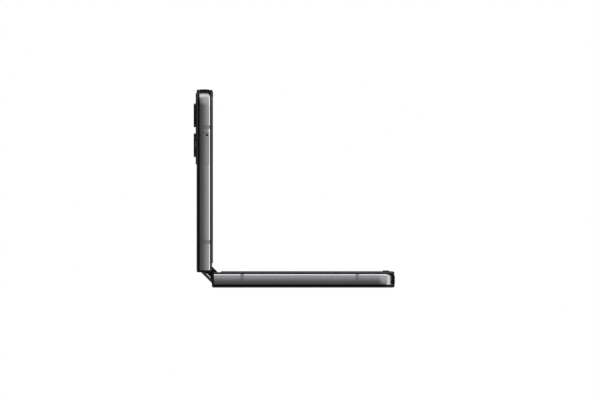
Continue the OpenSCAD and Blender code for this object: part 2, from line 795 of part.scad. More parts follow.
module hinge_brackets() color([0.5, 0.5, 0.52]) place_spine() for (y = module_ys) difference() {
    bar(y - module_l / 2, module_l) core_shape(core_top, support_top - support_t - seat);
    for (s = sides) {
        middle = y + s * tongue_y;
        slot_hl = tongue_w / 2 + run_gap;
        difference() {
            rod(s * axis_x, middle - slot_hl, axis_z, tongue_r + tongue_t / 2 + run_gap, 2 * slot_hl);
            rod(s * axis_x, middle - tongue_w, axis_z, tongue_r - tongue_t / 2 - run_gap, 2 * tongue_w);
        }
        for (t = sides) translate([s * spine_screw_x, y + t * spine_screw_y, 0])
            cylinder(r = screw_r + 2 * seat, h = half_t);
    }
}

// Two plates that hold the gear pins
module gear_bracket() color([0.5, 0.5, 0.52]) place_spine() {
    floor_z = spine_sink + spine_wall + seat;
    for (s = sides) difference() {
        bar(s * (gear_l / 2 + 0.2 + plate_t / 2) - plate_t / 2, plate_t)
            core_shape(core_top + 0.6, support_top - support_t - seat);
        for (i = [-3:2:3])
            rod(i * gear_x, -half_t, gear_z, (abs(i) == 3 ? shaft_r : pin_r) + run_gap, 2 * half_t);
    }
    bar(-gear_l / 2 - 1, gear_l + 2) translate([-ridge_hw, floor_z])
        square([2 * ridge_hw, gear_z - gear_tip - fit_gap - floor_z]);
}

// Outline of one gear, turned by half a tooth if shift is 1
function gear_points(shift) = [
    for (i = [0:gear_teeth - 1])
        for (p = [[gear_root, -0.34], [gear_tip, -0.12], [gear_tip, 0.12], [gear_root, 0.34]])
            let (turn = (i + shift / 2 + p[1] / 1.2) * 360 / gear_teeth)
                [p[0] * cos(turn), p[0] * sin(turn)]];

// A gear about its own middle, with its bore
module gear(shift, bore) {
    difference() {
        bar(-gear_l / 2, gear_l) polygon(gear_points(shift));
        rod(0, -half_t, 0, bore, 2 * half_t);
    }
}

// Fixed pins of the two gears in the middle
module gear_pins() color([0.75, 0.75, 0.75]) place_spine()
    for (s = sides)
        rod(s * gear_x, -gear_l / 2 - 0.2 - plate_t, gear_z, pin_r, gear_l + 0.4 + 2 * plate_t);

// A gear with its arm and its shaft, about its own pivot
module gear_arm(shift) {
    union() {
        bar(-gear_l / 2, gear_l) polygon(gear_points(shift));
        block([0, -gear_l / 2, -arm_t / 2], [arm_l, gear_l / 2, arm_t / 2]);
        rod(0, -shaft_hl, 0, shaft_r, 2 * shaft_hl);
    }
}

module lower_gear_arm() color([0.7, 0.66, 0.55]) place_spine()
    translate([3 * gear_x, 0, gear_z]) rotate([0, -45, 0]) gear_arm(0);

module upper_gear_arm() color([0.7, 0.66, 0.55]) place_spine()
    translate([-3 * gear_x, 0, gear_z]) rotate([0, 45, 0]) mirror([1, 0, 0]) gear_arm(1);

module lower_idler_gear() color([0.7, 0.66, 0.55]) place_spine()
    translate([gear_x, 0, gear_z]) rotate([0, 45, 0]) gear(1, pin_r + run_gap);

module upper_idler_gear() color([0.7, 0.66, 0.55]) place_spine()
    translate([-gear_x, 0, gear_z]) rotate([0, -45, 0]) gear(0, pin_r + run_gap);

// Split clips that grip the arms' shafts and hold the phone at any angle
module friction_clips() color([0.55, 0.55, 0.57]) place_spine()
    for (s = sides, t = sides, i = [0:3]) {
        y = t * (clip_y + i * clip_step);
        difference() {
            union() {
                rod(s * 3 * gear_x, y - clip_l / 2, gear_z, shaft_r + run_gap + clip_t, clip_l);
                block([s * 3 * gear_x - 0.4, y - clip_l / 2, spine_sink + spine_wall + seat],
                    [s * 3 * gear_x + 0.4, y + clip_l / 2, gear_z]);
            }
            rod(s * 3 * gear_x, y - clip_l, gear_z, shaft_r + run_gap, 2 * clip_l);
        }
    }

module spine_screws() color([0.6, 0.6, 0.6]) place_spine()
    for (y = module_ys, s = sides, t = sides)
        translate([s * spine_screw_x, y + t * spine_screw_y, spine_sink + 0.2]) {
            cylinder(r = screw_r, h = core_top - spine_sink);
            translate([0, 0, core_top - spine_sink - 0.2 + seat]) cylinder(r = 1.6 * screw_r, h = 0.3);
        }

// Steel strip under the fold
module fold_support() color([0.7, 0.7, 0.7]) place_spine()
    block([-ridge_hw, fit_gap - shield_in, support_top - support_t],
        [ridge_hw, shield_in - fit_gap, support_top]);

// How far a point of the folding screen has turned at rest, at a distance from the middle of the fold
function fold_turn(s) = let (k = s / fold_hx) 45 * k * k * (3 - 2 * k);

// Where that point is, at a height over the hinge axes
function fold_point(s, h) = let (t = fold_turn(s), x = s - axis_x)
    [axis_x + x * cos(t) - h * sin(t), axis_z + x * sin(t) + h * cos(t)];

// The folding stretch of the screen, as it is when the phone is half open
module screen_fold() color([0.02, 0.02, 0.03]) place_spine() {
    steps = 12;
    upper_side = [for (i = [0:steps]) fold_point(i * fold_hx / steps, axis_depth)];
    under_side = [for (i = [0:steps]) fold_point(i * fold_hx / steps, axis_depth - screen_t)];
    left_top = [for (i = [steps:-1:1]) [-upper_side[i][0], upper_side[i][1]]];
    right_under = [for (i = [steps:-1:0]) under_side[i]];
    left_under = [for (i = [1:steps]) [-under_side[i][0], under_side[i][1]]];
    bar(0.15 - shield_in, 2 * (shield_in - 0.15))
        polygon(concat(left_top, upper_side, right_under, left_under));
}

module upper_frame() color([0.62, 0.62, 0.64]) place_upper() difference() {
    frame_blank();
    key_hole(volume_u, volume_l);
    key_hole(power_u, power_l);
    block([tray_u - tray_l / 2 - 0.06, -half_hw - over, tray_z - tray_h / 2 - 0.06],
        [tray_u + tray_l / 2 + 0.06, wall - half_hw + over, tray_z + tray_h / 2 + 0.06]);
    translate([selfie_u, 0, 0]) cylinder(r = selfie_r + fit_gap, h = half_t);
    mic_hole(mic_y + 2);
}

// The hole for a side key
module key_hole(u, l) {
    stadium(u, half_hw - wall - over, key_z, l + 2 * fit_gap, key_h + 2 * fit_gap, wall + 2 * over);
}

module upper_antenna_bands() color([0.5, 0.5, 0.51]) place_upper() bands();

// Outline of the black window, drawn in by a gap
module window_outline(gap) {
    outline(window_u + gap, window_inset + gap);
}

module upper_back_glass() color([0.2, 0.2, 0.21]) place_upper() difference() {
    back_glass();
    translate([0, 0, -over]) linear_extrude(glass_t + 2 * over) window_outline(0);
}

module upper_seal() color([0.05, 0.05, 0.05]) place_upper() seal();

module upper_rim() color([0.2, 0.19, 0.22]) place_upper() difference() {
    rim();
    block([half_l - lip_w + 0.5, -slit_l / 2, half_t - 0.2],
        [half_l - lip_w + 0.5 + slit_w, slit_l / 2, half_t + lip_h + over]);
}

module upper_end_cap() color([0.06, 0.06, 0.06]) place_upper() end_cap();

module upper_screen() color([0.02, 0.02, 0.03]) place_upper() difference() {
    screen_panel();
    translate([selfie_u, 0, 0]) cylinder(r = selfie_r, h = half_t + over);
}

module upper_screen_plate() color([0.7, 0.7, 0.7]) place_upper() difference() {
    screen_plate();
    translate([selfie_u, 0, 0]) cylinder(r = selfie_r, h = half_t + over);
}

module upper_battery() color([0.25, 0.25, 0.27]) place_upper()
    battery(upper_battery_l, upper_battery_side, glass_t + 0.2);

module main_board() color([0.05, 0.2, 0.12]) place_upper() difference() {
    board(main_board_l);
    for (u = camera_u) camera_block(u, 0.2, 0, half_t);
    translate([selfie_u, 0, 0]) cylinder(r = selfie_r + 0.5, h = half_t);
}

// A square block about a camera, wider than its module by a gap on each side
module camera_block(u, gap, low, high) {
    hw = camera_w / 2 + gap;
    block([u - hw, camera_y - hw, low], [u + hw, camera_y + hw, high]);
}

// Steel can over the chips
module board_shield() color([0.72, 0.72, 0.72]) place_upper()
    translate([board_end - main_board_l + can_in, -can_y - can_w / 2, board_z - 0.05 - can_h]) difference() {
        cube([can_l, can_w, can_h]);
        translate([can_t, can_t, can_t]) cube([can_l - 2 * can_t, can_w - 2 * can_t, can_h]);
    }

module black_window() color([0.03, 0.03, 0.04]) place_upper() difference() {
    translate([0, 0, -window_rise]) linear_extrude(window_rise + glass_t) window_outline(0.08);
    for (u = camera_u) translate([u, camera_y, -over]) cylinder(r = ring_r + 0.08, h = half_t);
}

module cover_screen() color([0.02, 0.02, 0.03]) place_upper()
    block([window_u + cover_in, wall - half_hw + cover_in, glass_t + seat],
        [window_end - cover_in, camera_y - ring_r - 1, seal_top]);

module camera_rings() color([0.09, 0.09, 0.1]) place_upper() for (u = camera_u)
    translate([u, camera_y, -camera_out]) difference() {
        cylinder(r = ring_r, h = camera_out + glass_t + 0.2);
        translate([0, 0, -over]) cylinder(r = ring_bore_r, h = half_t);
    }

module camera_lenses() color([0.05, 0.06, 0.09]) place_upper() for (u = camera_u)
    translate([u, camera_y, lens_sink - camera_out]) cylinder(r = ring_bore_r - seat, h = lens_t);

module camera_modules() color([0.1, 0.1, 0.1]) place_upper() for (u = camera_u) {
    translate([u, camera_y, lens_sink + lens_t + 0.05 - camera_out])
        cylinder(r = ring_bore_r - 0.95, h = camera_out + glass_t);
    camera_block(u, 0, glass_t + 0.3, room_top);
}

module lamp_lens() color([0.9, 0.87, 0.75]) place_upper()
    translate([camera_u[1], camera_y - ring_r - lamp_gap, -window_rise - lamp_t - seat / 2])
        cylinder(r = lamp_r, h = lamp_t);

module front_camera() color([0.04, 0.04, 0.06]) place_upper()
    translate([selfie_u, 0, mid_z - selfie_depth])
        cylinder(r = selfie_r - fit_gap, h = half_t - fit_gap - mid_z + selfie_depth);

module earpiece() color([0.1, 0.1, 0.1]) place_upper()
    translate([board_end - 2.15, -selfie_r - earpiece_gap, board_z - fit_gap])
        mirror([1, 0, 0]) mirror([0, 1, 0]) mirror([0, 0, 1]) cube([earpiece_l, earpiece_w, earpiece_h]);

// A side key with the flange that keeps it in the wall
module side_key(u, l, rise) {
    flange_y = half_hw - wall - flange_t - 0.05;
    stadium(u, flange_y, key_z, l, key_h, half_hw + rise - flange_y);
    stadium(u, flange_y, key_z, l + 2 * flange_w, key_h + 2 * flange_w, flange_t);
}

module volume_key() color([0.55, 0.55, 0.57]) place_upper() side_key(volume_u, volume_l, volume_rise);

module power_key() color([0.4, 0.4, 0.42]) place_upper() side_key(power_u, power_l, power_rise);

// Three small switches behind the keys
module key_switches() color([0.3, 0.3, 0.3]) place_upper()
    for (u = [volume_u - switch_step / 2, volume_u + switch_step / 2, power_u]) {
        front = half_hw - wall - flange_t - 0.6;
        block([u - switch_l / 2, front - switch_t, key_z - 0.9], [u + switch_l / 2, front, room_top]);
        rod(u, front - 0.05, key_z, 0.5, 0.31);
    }

module card_tray() color([0.6, 0.6, 0.62]) place_upper() difference() {
    union() {
        block([tray_u - tray_l / 2, -half_hw, tray_z - tray_h / 2],
            [tray_u + tray_l / 2, wall - half_hw - 0.15, tray_z + tray_h / 2]);
        block([tray_u - tray_l / 2 + 1, wall - half_hw - 0.3, card_z],
            [tray_u + tray_l / 2 - 1, wall - half_hw - 0.15 + tray_depth, card_z + tray_t]);
    }
    translate([tray_u + tray_l / 2 - pin_in, -half_hw - over, tray_z + tray_h / 2 - pin_in])
        rotate([-90, 0, 0]) cylinder(r = pin_hole_r, h = wall + 2 * over);
    translate([tray_u - 0.85, wall - half_hw + tray_depth - 1 - card_w, card_z + tray_t - card_d])
        translate([-card_l / 2, 0, 0]) cube([card_l, card_w, tray_t]);
}

// Metal cage that the tray slides into
module card_reader() color([0.7, 0.7, 0.7]) place_upper() difference() {
    hl = tray_l / 2 - 0.9;
    block([tray_u - hl - cage_t, wall - half_hw + 0.3, card_z - fit_gap - cage_t],
        [tray_u + hl + cage_t, wall - half_hw + tray_depth + 0.3 + cage_t, board_z - fit_gap]);
    block([tray_u - hl, wall - half_hw - over, card_z - fit_gap],
        [tray_u + hl, wall - half_hw + tray_depth + 0.3, card_z + tray_t + fit_gap]);
}

module upper_buffers() color([0.12, 0.12, 0.13]) place_upper()
    buffers(upper_buffer_turn, upper_buffer_h);

module upper_screws() color([0.6, 0.6, 0.6]) place_upper() half_screws();

module upper_hinge_leaves() color([0.66, 0.66, 0.68]) place_upper() hinge_leaves(-1);

lower_frame();
lower_antenna_bands();
lower_back_glass();
lower_seal();
lower_rim();
lower_end_cap();
lower_screen();
lower_screen_plate();
lower_battery();
charging_coil();
lower_board();
charging_socket();
socket_tongue();
loudspeaker();
vibration_motor();
lower_buffers();
lower_screws();
lower_hinge_leaves();
spine_cover();
spine_end_caps();
hinge_brackets();
gear_bracket();
gear_pins();
lower_gear_arm();
upper_gear_arm();
lower_idler_gear();
upper_idler_gear();
friction_clips();
spine_screws();
fold_support();
screen_fold();
upper_frame();
upper_antenna_bands();
upper_back_glass();
upper_seal();
upper_rim();
upper_end_cap();
upper_screen();
upper_screen_plate();
upper_battery();
main_board();
board_shield();
black_window();
cover_screen();
camera_rings();
camera_lenses();
camera_modules();
lamp_lens();
front_camera();
earpiece();
volume_key();
power_key();
key_switches();
card_tray();
card_reader();
upper_buffers();
upper_screws();
upper_hinge_leaves();
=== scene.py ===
# Clamshell folding phone, half open and lying on the back of its lower half.
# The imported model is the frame: the pieces that show are drawn again on it with fine edges and finishes.
import json
import math

import bmesh
import bpy
from mathutils import Matrix, Vector


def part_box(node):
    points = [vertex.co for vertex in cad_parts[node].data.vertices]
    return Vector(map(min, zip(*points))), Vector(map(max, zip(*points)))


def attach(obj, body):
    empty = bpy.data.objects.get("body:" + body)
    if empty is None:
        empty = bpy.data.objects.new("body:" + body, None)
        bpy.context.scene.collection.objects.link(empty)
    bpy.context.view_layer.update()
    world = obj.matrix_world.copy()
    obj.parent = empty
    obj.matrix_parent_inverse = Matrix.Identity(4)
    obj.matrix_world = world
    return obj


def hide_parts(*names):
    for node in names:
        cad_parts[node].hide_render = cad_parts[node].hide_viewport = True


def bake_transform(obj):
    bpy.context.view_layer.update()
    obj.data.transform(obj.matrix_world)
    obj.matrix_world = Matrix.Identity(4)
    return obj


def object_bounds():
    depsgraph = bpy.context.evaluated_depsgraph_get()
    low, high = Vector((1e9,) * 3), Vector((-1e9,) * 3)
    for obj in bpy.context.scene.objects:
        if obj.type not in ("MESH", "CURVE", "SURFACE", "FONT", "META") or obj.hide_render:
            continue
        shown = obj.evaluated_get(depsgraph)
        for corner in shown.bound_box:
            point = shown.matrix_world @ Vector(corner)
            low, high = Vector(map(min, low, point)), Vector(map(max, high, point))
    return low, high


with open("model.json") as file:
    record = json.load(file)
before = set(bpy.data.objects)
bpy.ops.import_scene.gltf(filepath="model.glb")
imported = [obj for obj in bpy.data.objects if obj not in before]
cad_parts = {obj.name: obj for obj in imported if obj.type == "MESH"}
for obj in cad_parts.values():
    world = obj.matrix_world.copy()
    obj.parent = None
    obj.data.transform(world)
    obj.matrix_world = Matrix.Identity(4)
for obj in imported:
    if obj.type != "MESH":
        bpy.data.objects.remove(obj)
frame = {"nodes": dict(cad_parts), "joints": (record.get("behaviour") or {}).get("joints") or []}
cad_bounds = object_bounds()
MM = 0.001

# Camera.
# The photograph looks straight at the phone's long side, level and without perspective, so the lens is
# orthographic: its width is what 600 pixels of the photograph cover.
PHOTO_WIDTH = 600
PIXELS_PER_MM = 2.218
VIEW_MIDDLE = Vector((-1.52, -500, 39.52)) * MM
lens = bpy.data.cameras.new("camera")
lens.type = "ORTHO"
lens.ortho_scale = PHOTO_WIDTH / PIXELS_PER_MM * MM
camera = bpy.data.objects.new("camera", lens)
camera.location = VIEW_MIDDLE
camera.rotation_euler = (math.radians(90), 0, 0)
bpy.context.scene.collection.objects.link(camera)
bpy.context.scene.camera = camera
bpy.context.scene.view_settings.view_transform = "Standard"


class Finish:
    """One output of a shader node; sums on it add Math nodes."""

    def __init__(self, tree, socket=None):
        self.tree = tree
        self.socket = socket

    def node(self, kind, settings, inputs, output=0):
        """Adds a node: its settings first, then the values or links of its sockets."""
        added = self.tree.nodes.new("ShaderNode" + kind)
        for name, value in settings.items():
            if name == "stops":
                ramp = added.color_ramp.elements
                while len(ramp) < len(value):
                    ramp.new(1)
                for element, (position, grey) in zip(ramp, value):
                    element.position = position
                    element.color = (grey, grey, grey, 1)
            else:
                setattr(added, name, value)
        for name, value in inputs.items():
            if isinstance(value, Finish):
                self.tree.links.new(value.socket, added.inputs[name])
            else:
                added.inputs[name].default_value = value
        return Finish(self.tree, added.outputs[output])

    def feed(self, shader, name):
        """Links this output to a socket of a surface."""
        self.tree.links.new(self.socket, shader.inputs[name])

    def sum(self, operation, first, second):
        return self.node("Math", {"operation": operation}, {0: first, 1: second})

    def __add__(self, other):
        return self.sum("ADD", self, other)

    def __sub__(self, other):
        return self.sum("SUBTRACT", self, other)

    def __rsub__(self, other):
        return self.sum("SUBTRACT", other, self)

    def __mul__(self, other):
        return self.sum("MULTIPLY", self, other)

    __radd__ = __add__
    __rmul__ = __mul__


# Studio.
# A pale floor under a plain white surround, lit by two soft lamps. Cards that only reflections see stand
# round the phone, as on a photographer's table: grey ones with a soft gradient in front and behind, bright
# ones at the right and above, and dark flags at the left, below and close beside the free ends.
FLOOR_SIZE = 6.0
FLOOR_DROP = 0.05 * MM
FLOOR_WHITE = 0.86
FLOOR_SEEN = 1.35
FLOOR_FAR = 0.15
SURROUND = 0.62
CARD_DISTANCE = 3.0
CARD_SIZE = 10.0
CARD_BEND = 1.8
CARD_SLOPE = 0.15
CARD_STOPS = (
    (0.0, 0.3), (0.06, 0.13), (0.19, 0.18), (0.32, 0.24), (0.44, 0.34), (0.5, 0.4),
    (0.55, 0.47), (0.65, 0.66), (0.78, 0.85), (0.92, 0.94), (1.0, 1.15),
)
BRIGHT = 2.1
BRIGHT_FROM, BRIGHT_TO = -1.4, 0.12
BELOW_FROM, BELOW_TO = -3.0, 0.2
FLAG_BLACK = 0.004
FLAG_GAP = 0.02
FLAG_REACH = 0.033
FLAG_DROP = 0.008
RIGHT_FLAG, TOP_FLAG = 0.055, 0.021
LAMP_SIZE = 0.5
LAMP_AIM = (0, 0, 0.03)
LAMPS = (("key_lamp", (0.45, -0.55, 0.7), 3.2), ("fill_lamp", (-0.6, -0.6, 0.35), 1.4))


def plain_object(name, bm):
    """Makes an object of a bmesh and puts it into the scene."""
    mesh = bpy.data.meshes.new(name)
    bm.to_mesh(mesh)
    bm.free()
    made = bpy.data.objects.new(name, mesh)
    bpy.context.scene.collection.objects.link(made)
    return made


def stage_sheet(name, middle, across, up):
    """A flat sheet of the studio, which isn't part of the phone: its middle and its two half sides."""
    bm = bmesh.new()
    corners = [bm.verts.new(Vector(middle) + a * Vector(across) + b * Vector(up))
               for a, b in ((-1, -1), (1, -1), (1, 1), (-1, 1))]
    bm.faces.new(corners)
    sheet = plain_object(name, bm)
    return sheet


def empty_material(name):
    """A material with an empty node tree and its output."""
    material = bpy.data.materials.new(name)
    material.use_nodes = True
    material.node_tree.nodes.clear()
    output = material.node_tree.nodes.new("ShaderNodeOutputMaterial")
    return material, Finish(material.node_tree), output.inputs["Surface"]


def ray_is(paint, *kinds):
    """1 for rays of one of these kinds, and 0 for others."""
    found = 0.0
    for kind in kinds:
        found = paint.sum("MAXIMUM", found, paint.node("LightPath", {}, {}, f"Is {kind} Ray"))
    return found


world = bpy.data.worlds.new("surround")
bpy.context.scene.world = world
world.use_nodes = True
air = Finish(world.node_tree)
background = world.node_tree.nodes["Background"]
background.inputs["Color"].default_value = (1, 1, 1, 1)
seen = ray_is(air, "Camera", "Glossy", "Transmission")
(seen * (1 - SURROUND) + SURROUND).feed(background, "Strength")

floor = stage_sheet("floor", (0, 0, -FLOOR_DROP), (FLOOR_SIZE / 2, 0, 0), (0, FLOOR_SIZE / 2, 0))
floor_paint, paint, surface = empty_material("floor_paint")
place = paint.node("TexCoord", {}, {}, "Object")
away = paint.node("VectorMath", {"operation": "LENGTH"}, {0: place}, "Value")
white = ray_is(paint, "Camera") * (away * FLOOR_FAR + (FLOOR_SEEN - FLOOR_WHITE)) + FLOOR_WHITE
tone = paint.node("CombineColor", {}, {0: white, 1: white, 2: white})
paint.tree.links.new(paint.node("BsdfDiffuse", {}, {"Color": tone}).socket, surface)
floor.data.materials.append(floor_paint)
floor.visible_glossy = False


def card(name, middle, across, up, stops):
    """A glowing card that only reflections see. Its stops go from its lower left to its upper right."""
    sheet = stage_sheet(name, middle, across, up)
    cardboard, board, surface = empty_material(name)
    place = board.node("TexCoord", {}, {}, "Object")
    rise = 0.5
    for axis in ("X", "Z"):
        way = board.node("SeparateXYZ", {}, {0: place}, axis)
        rise = (board.sum("MINIMUM", way, CARD_BEND) + way * CARD_SLOPE) * (2 / CARD_SIZE) + rise
    shares = [(spot, grey / BRIGHT) for spot, grey in stops]
    ramp = board.node("ValToRGB", {"stops": shares}, {"Fac": rise})
    glow = board.node("Emission", {}, {"Color": ramp, "Strength": BRIGHT})
    board.tree.links.new(glow.socket, surface)
    sheet.data.materials.append(cardboard)
    for ray in ("camera", "diffuse", "transmission", "volume_scatter", "shadow"):
        setattr(sheet, "visible_" + ray, False)


wide = CARD_SIZE / 2
for name, side in (("front_card", -1), ("back_card", 1)):
    card(name, (0, side * CARD_DISTANCE, 0), (wide, 0, 0), (0, 0, wide), CARD_STOPS)
bright = ((0.0, BRIGHT), (1.0, BRIGHT))
dark = ((0.0, FLAG_BLACK), (1.0, FLAG_BLACK))
middle = (BRIGHT_FROM + BRIGHT_TO) / 2
reach = (0, (BRIGHT_TO - BRIGHT_FROM) / 2, 0)
card("right_box", (CARD_DISTANCE, middle, 0), reach, (0, 0, CARD_DISTANCE), bright)
card("top_box", (0, middle, CARD_DISTANCE), reach, (CARD_DISTANCE, 0, 0), bright)
middle = (BELOW_FROM + BELOW_TO) / 2
reach = (0, (BELOW_TO - BELOW_FROM) / 2, 0)
card("bottom_flag", (0, middle, -CARD_DISTANCE), (CARD_DISTANCE, 0, 0), reach, dark)
card("left_flag", (-CARD_DISTANCE, 0, 0), (0, CARD_DISTANCE, 0), (0, 0, CARD_DISTANCE), dark)
phone_low, phone_high = cad_bounds
reach = (0, FLAG_REACH, 0)
middle = (phone_high.x + FLAG_GAP, 0, RIGHT_FLAG - FLAG_DROP)
card("right_flag", middle, reach, (0, 0, RIGHT_FLAG), dark)
middle = (phone_low.x + TOP_FLAG - FLAG_DROP, 0, phone_high.z + FLAG_GAP)
card("top_flag", middle, reach, (TOP_FLAG, 0, 0), dark)

for name, place, power in LAMPS:
    lamp = bpy.data.lights.new(name, "AREA")
    lamp.size = LAMP_SIZE
    lamp.energy = power
    stand = bpy.data.objects.new(name, lamp)
    stand.location = place
    stand.visible_glossy = False
    stand.rotation_euler = (Vector(LAMP_AIM) - Vector(place)).to_track_quat("-Z", "Y").to_euler()
    bpy.context.scene.collection.objects.link(stand)

# Frames.
# Each half has a band of machined, bead-blasted and anodised aluminium, with a thin plate across it that
# carries the screen. Its walls are slightly crowned, and have a polished slant cut on the screen side.
HALVES = ("lower", "upper")
CORNER = 7.5
EDGE_CUT = 0.45
EDGE_IN = 0.36
EDGE_BREAK = 0.07
CUT_BREAK = 0.14
CUT_ROOM = 0.2
CUT_SLOPES = (0.3, 0.95)
CUT_REACH = 1.0
BACK_BREAK = 0.3
WALL_FOOT = 0.5
CROWN, END_CROWN = 0.4, 0.08
CROWN_STRIPS = 12
SKIN = 0.1
BANDS_FROM_ENDS = (13.7, 17.05)
BAND_ROOM = 0.9
NEAR = 0.02
JOIN = 0.001
FLAT, SHARP = math.radians(0.6), math.radians(35)
ALUMINIUM = (0.3, 0.303, 0.315)
CUT_ALUMINIUM = (0.5, 0.504, 0.52)
CUT_GLOSS = 0.1


def half_place(half):
    """The matrix from a half drawn flat on its back, in millimetres from its hinge end, to its place."""
    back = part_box(half + "_back_glass")[0]
    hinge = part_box(half + "_end_cap")[0]
    if half == "lower":
        rows = ((MM, 0, 0, hinge.x), (0, MM, 0, 0), (0, 0, MM, back.z))
    else:
        rows = ((0, 0, MM, back.x), (0, MM, 0, 0), (MM, 0, 0, hinge.z))
    return Matrix((*rows, (0, 0, 0, 1)))


def drawn_box(node, place):
    """The two corners of a CAD node's box, brought back to where it is drawn."""
    return [place.inverted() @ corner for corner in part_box(node)]


PLACES = {half: half_place(half) for half in HALVES}
frame_low, frame_high = drawn_box("lower_frame", PLACES["lower"])
LENGTH = frame_high.x
HALF_WIDTH = frame_high.y
CUT_LEVEL = frame_high.z - EDGE_CUT
BAND_PLACES = (BANDS_FROM_ENDS[0], LENGTH - BANDS_FROM_ENDS[1])


def drawn_copy(node, place):
    """A copy of a CAD node, brought back to where it is drawn, with its triangles joined."""
    bm = bmesh.new()
    bm.from_mesh(frame["nodes"][node].data)
    bmesh.ops.transform(bm, matrix=place.inverted(), verts=bm.verts)
    bmesh.ops.remove_doubles(bm, verts=bm.verts, dist=JOIN)
    bmesh.ops.dissolve_limit(bm, angle_limit=FLAT, verts=bm.verts, edges=bm.edges)
    return bm


def inset(point):
    """How far a drawn point lies inside the outline of a half, and the way further in."""
    u = point.x - (LENGTH - CORNER)
    y = abs(point.y) - (HALF_WIDTH - CORNER)
    side = math.copysign(1, point.y)
    if u > 0 and y > 0:
        reach = math.hypot(u, y)
        return CORNER - reach, Vector((-u / reach, -side * y / reach, 0))
    if CORNER - y < CORNER - u:
        return CORNER - y, Vector((0, -side, 0))
    return CORNER - u, Vector((-1, 0, 0))


def round_edges(bm, width, segments, wanted, sharper=SHARP):
    """Rounds the sharp edges whose two ends are wanted."""
    edges = [
        edge for edge in bm.edges
        if edge.is_manifold and edge.calc_face_angle(0) > sharper and all(wanted(v.co) for v in edge.verts)
    ]
    bmesh.ops.bevel(
        bm, geom=edges, offset=width, segments=segments, profile=0.5, affect="EDGES", material=-1,
        clamp_overlap=False,
    )


def crown(inwards):
    """How far the edges of a wall that faces this way are drawn in."""
    return END_CROWN + (CROWN - END_CROWN) * inwards.y ** 2


def divide(bm, faces, point, way):
    """Divides some faces along a plane, without parting them."""
    edges = list({edge for face in faces for edge in face.edges})
    verts = list({vert for face in faces for vert in face.verts})
    bmesh.ops.bisect_plane(bm, geom=faces + edges + verts, dist=1e-4, plane_co=point, plane_no=way)


def crown_walls(bm):
    """Crowns the outer face of the walls: drawn in the most at its two edges."""
    for strip in range(1, CROWN_STRIPS):
        level = frame_low.z + (CUT_LEVEL - frame_low.z) * strip / CROWN_STRIPS
        skin = [f for f in bm.faces if all(inset(v.co)[0] < SKIN for v in f.verts)]
        divide(bm, skin, (0, 0, level), (0, 0, 1))
    middle = (frame_low.z + CUT_LEVEL) / 2
    for vert in bm.verts:
        depth, inwards = inset(vert.co)
        share = min(1, abs(vert.co.z - middle) / (CUT_LEVEL - middle))
        by_back = vert.co.z < frame_low.z + BACK_BREAK + NEAR and depth < BACK_BREAK + NEAR
        by_cut = vert.co.z > CUT_LEVEL and depth < EDGE_IN + CUT_ROOM
        if depth < SKIN or by_back or by_cut:
            vert.co += inwards * crown(inwards) * share ** 2


def finish_of(name, constants):
    """A Principled material: returns it, its surface, and the place on the piece in millimetres."""
    material, paint, surface = empty_material(name)
    shader = paint.tree.nodes.new("ShaderNodeBsdfPrincipled")
    for socket, value in constants.items():
        shader.inputs[socket].default_value = value
    paint.tree.links.new(shader.outputs[0], surface)
    place = paint.node("TexCoord", {}, {}, "Object")
    return material, shader, place.node("VectorMath", {"operation": "SCALE"}, {0: place, "Scale": 1 / MM})


def noise(place, scale, detail):
    """Soft random patches; scale is patches to the millimetre."""
    return place.node("TexNoise", {}, {"Vector": place, "Scale": scale, "Detail": detail})


def mix(mask, first, second):
    """Goes from one colour to another with a mask."""
    colours = [colour if isinstance(colour, Finish) else (*colour, 1) for colour in (first, second)]
    return mask.node("Mix", {"data_type": "RGBA"}, {0: mask, 6: colours[0], 7: colours[1]}, 2)


def shades(mask, colour, darker, lighter):
    """A colour that goes from darker to lighter than itself with a mask."""
    return mix(mask, [c * darker for c in colour], [min(1, c * lighter) for c in colour])


def relief(height, shader, depth):
    """Raises the surface with a pattern; depth is in millimetres."""
    bump = height.node("Bump", {}, {"Height": height, "Strength": 1.0, "Distance": depth * MM})
    bump.feed(shader, "Normal")


def grain(place, shader, scale, depth):
    """A fine random grain in the surface; scale is grains to the millimetre, depth is in millimetres."""
    relief(noise(place, scale, 1.0), shader, depth)


def mark(bm, name, wanted):
    """Marks the wanted faces in an attribute that a finish can read."""
    bmesh.ops.recalc_face_normals(bm, faces=bm.faces)
    layer = bm.faces.layers.float.new(name)
    for face in bm.faces:
        face[layer] = float(wanted(face.calc_center_median(), face.normal))


def anodised(name, colour, roughness, depth=0.002, cut_colour=None):
    """Blasted and anodised aluminium: a slightly cloudy satin, polished where it is marked cut."""
    material, shader, place = finish_of(name, {"Metallic": 1.0})
    cloud = noise(place, 0.15, 3.0)
    tone = shades(cloud, colour, 0.95, 1.05)
    satin = cloud * 0.05 + (roughness - 0.025)
    if cut_colour:
        cut = place.node("Attribute", {"attribute_name": "cut"}, {}, "Fac")
        tone = mix(cut, tone, cut_colour)
        satin -= cut * CUT_GLOSS
    tone.feed(shader, "Base Color")
    satin.feed(shader, "Roughness")
    grain(place, shader, 9.0, depth)
    return material


def put_in_place(bm, name, place, body, slot, material, *nodes):
    """Finishes a drawn piece: closed, smooth but for its sharp edges, painted, in its place on its body."""
    bmesh.ops.transform(bm, matrix=place, verts=bm.verts)
    bmesh.ops.recalc_face_normals(bm, faces=bm.faces)
    for face in bm.faces:
        face.smooth = True
    for edge in bm.edges:
        edge.smooth = edge.is_manifold and edge.calc_face_angle(0) < SHARP
    piece = plain_object(name, bm)
    piece.modifiers.new("even_shading", "WEIGHTED_NORMAL").keep_sharp = True
    piece.data.materials.append(material)
    if body:
        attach(piece, body)
    if nodes:
        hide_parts(*nodes)
    return piece


def on_back_edge(point):
    """Whether a drawn point is on the outer edge at the back."""
    return inset(point)[0] < NEAR and point.z < frame_low.z + NEAR


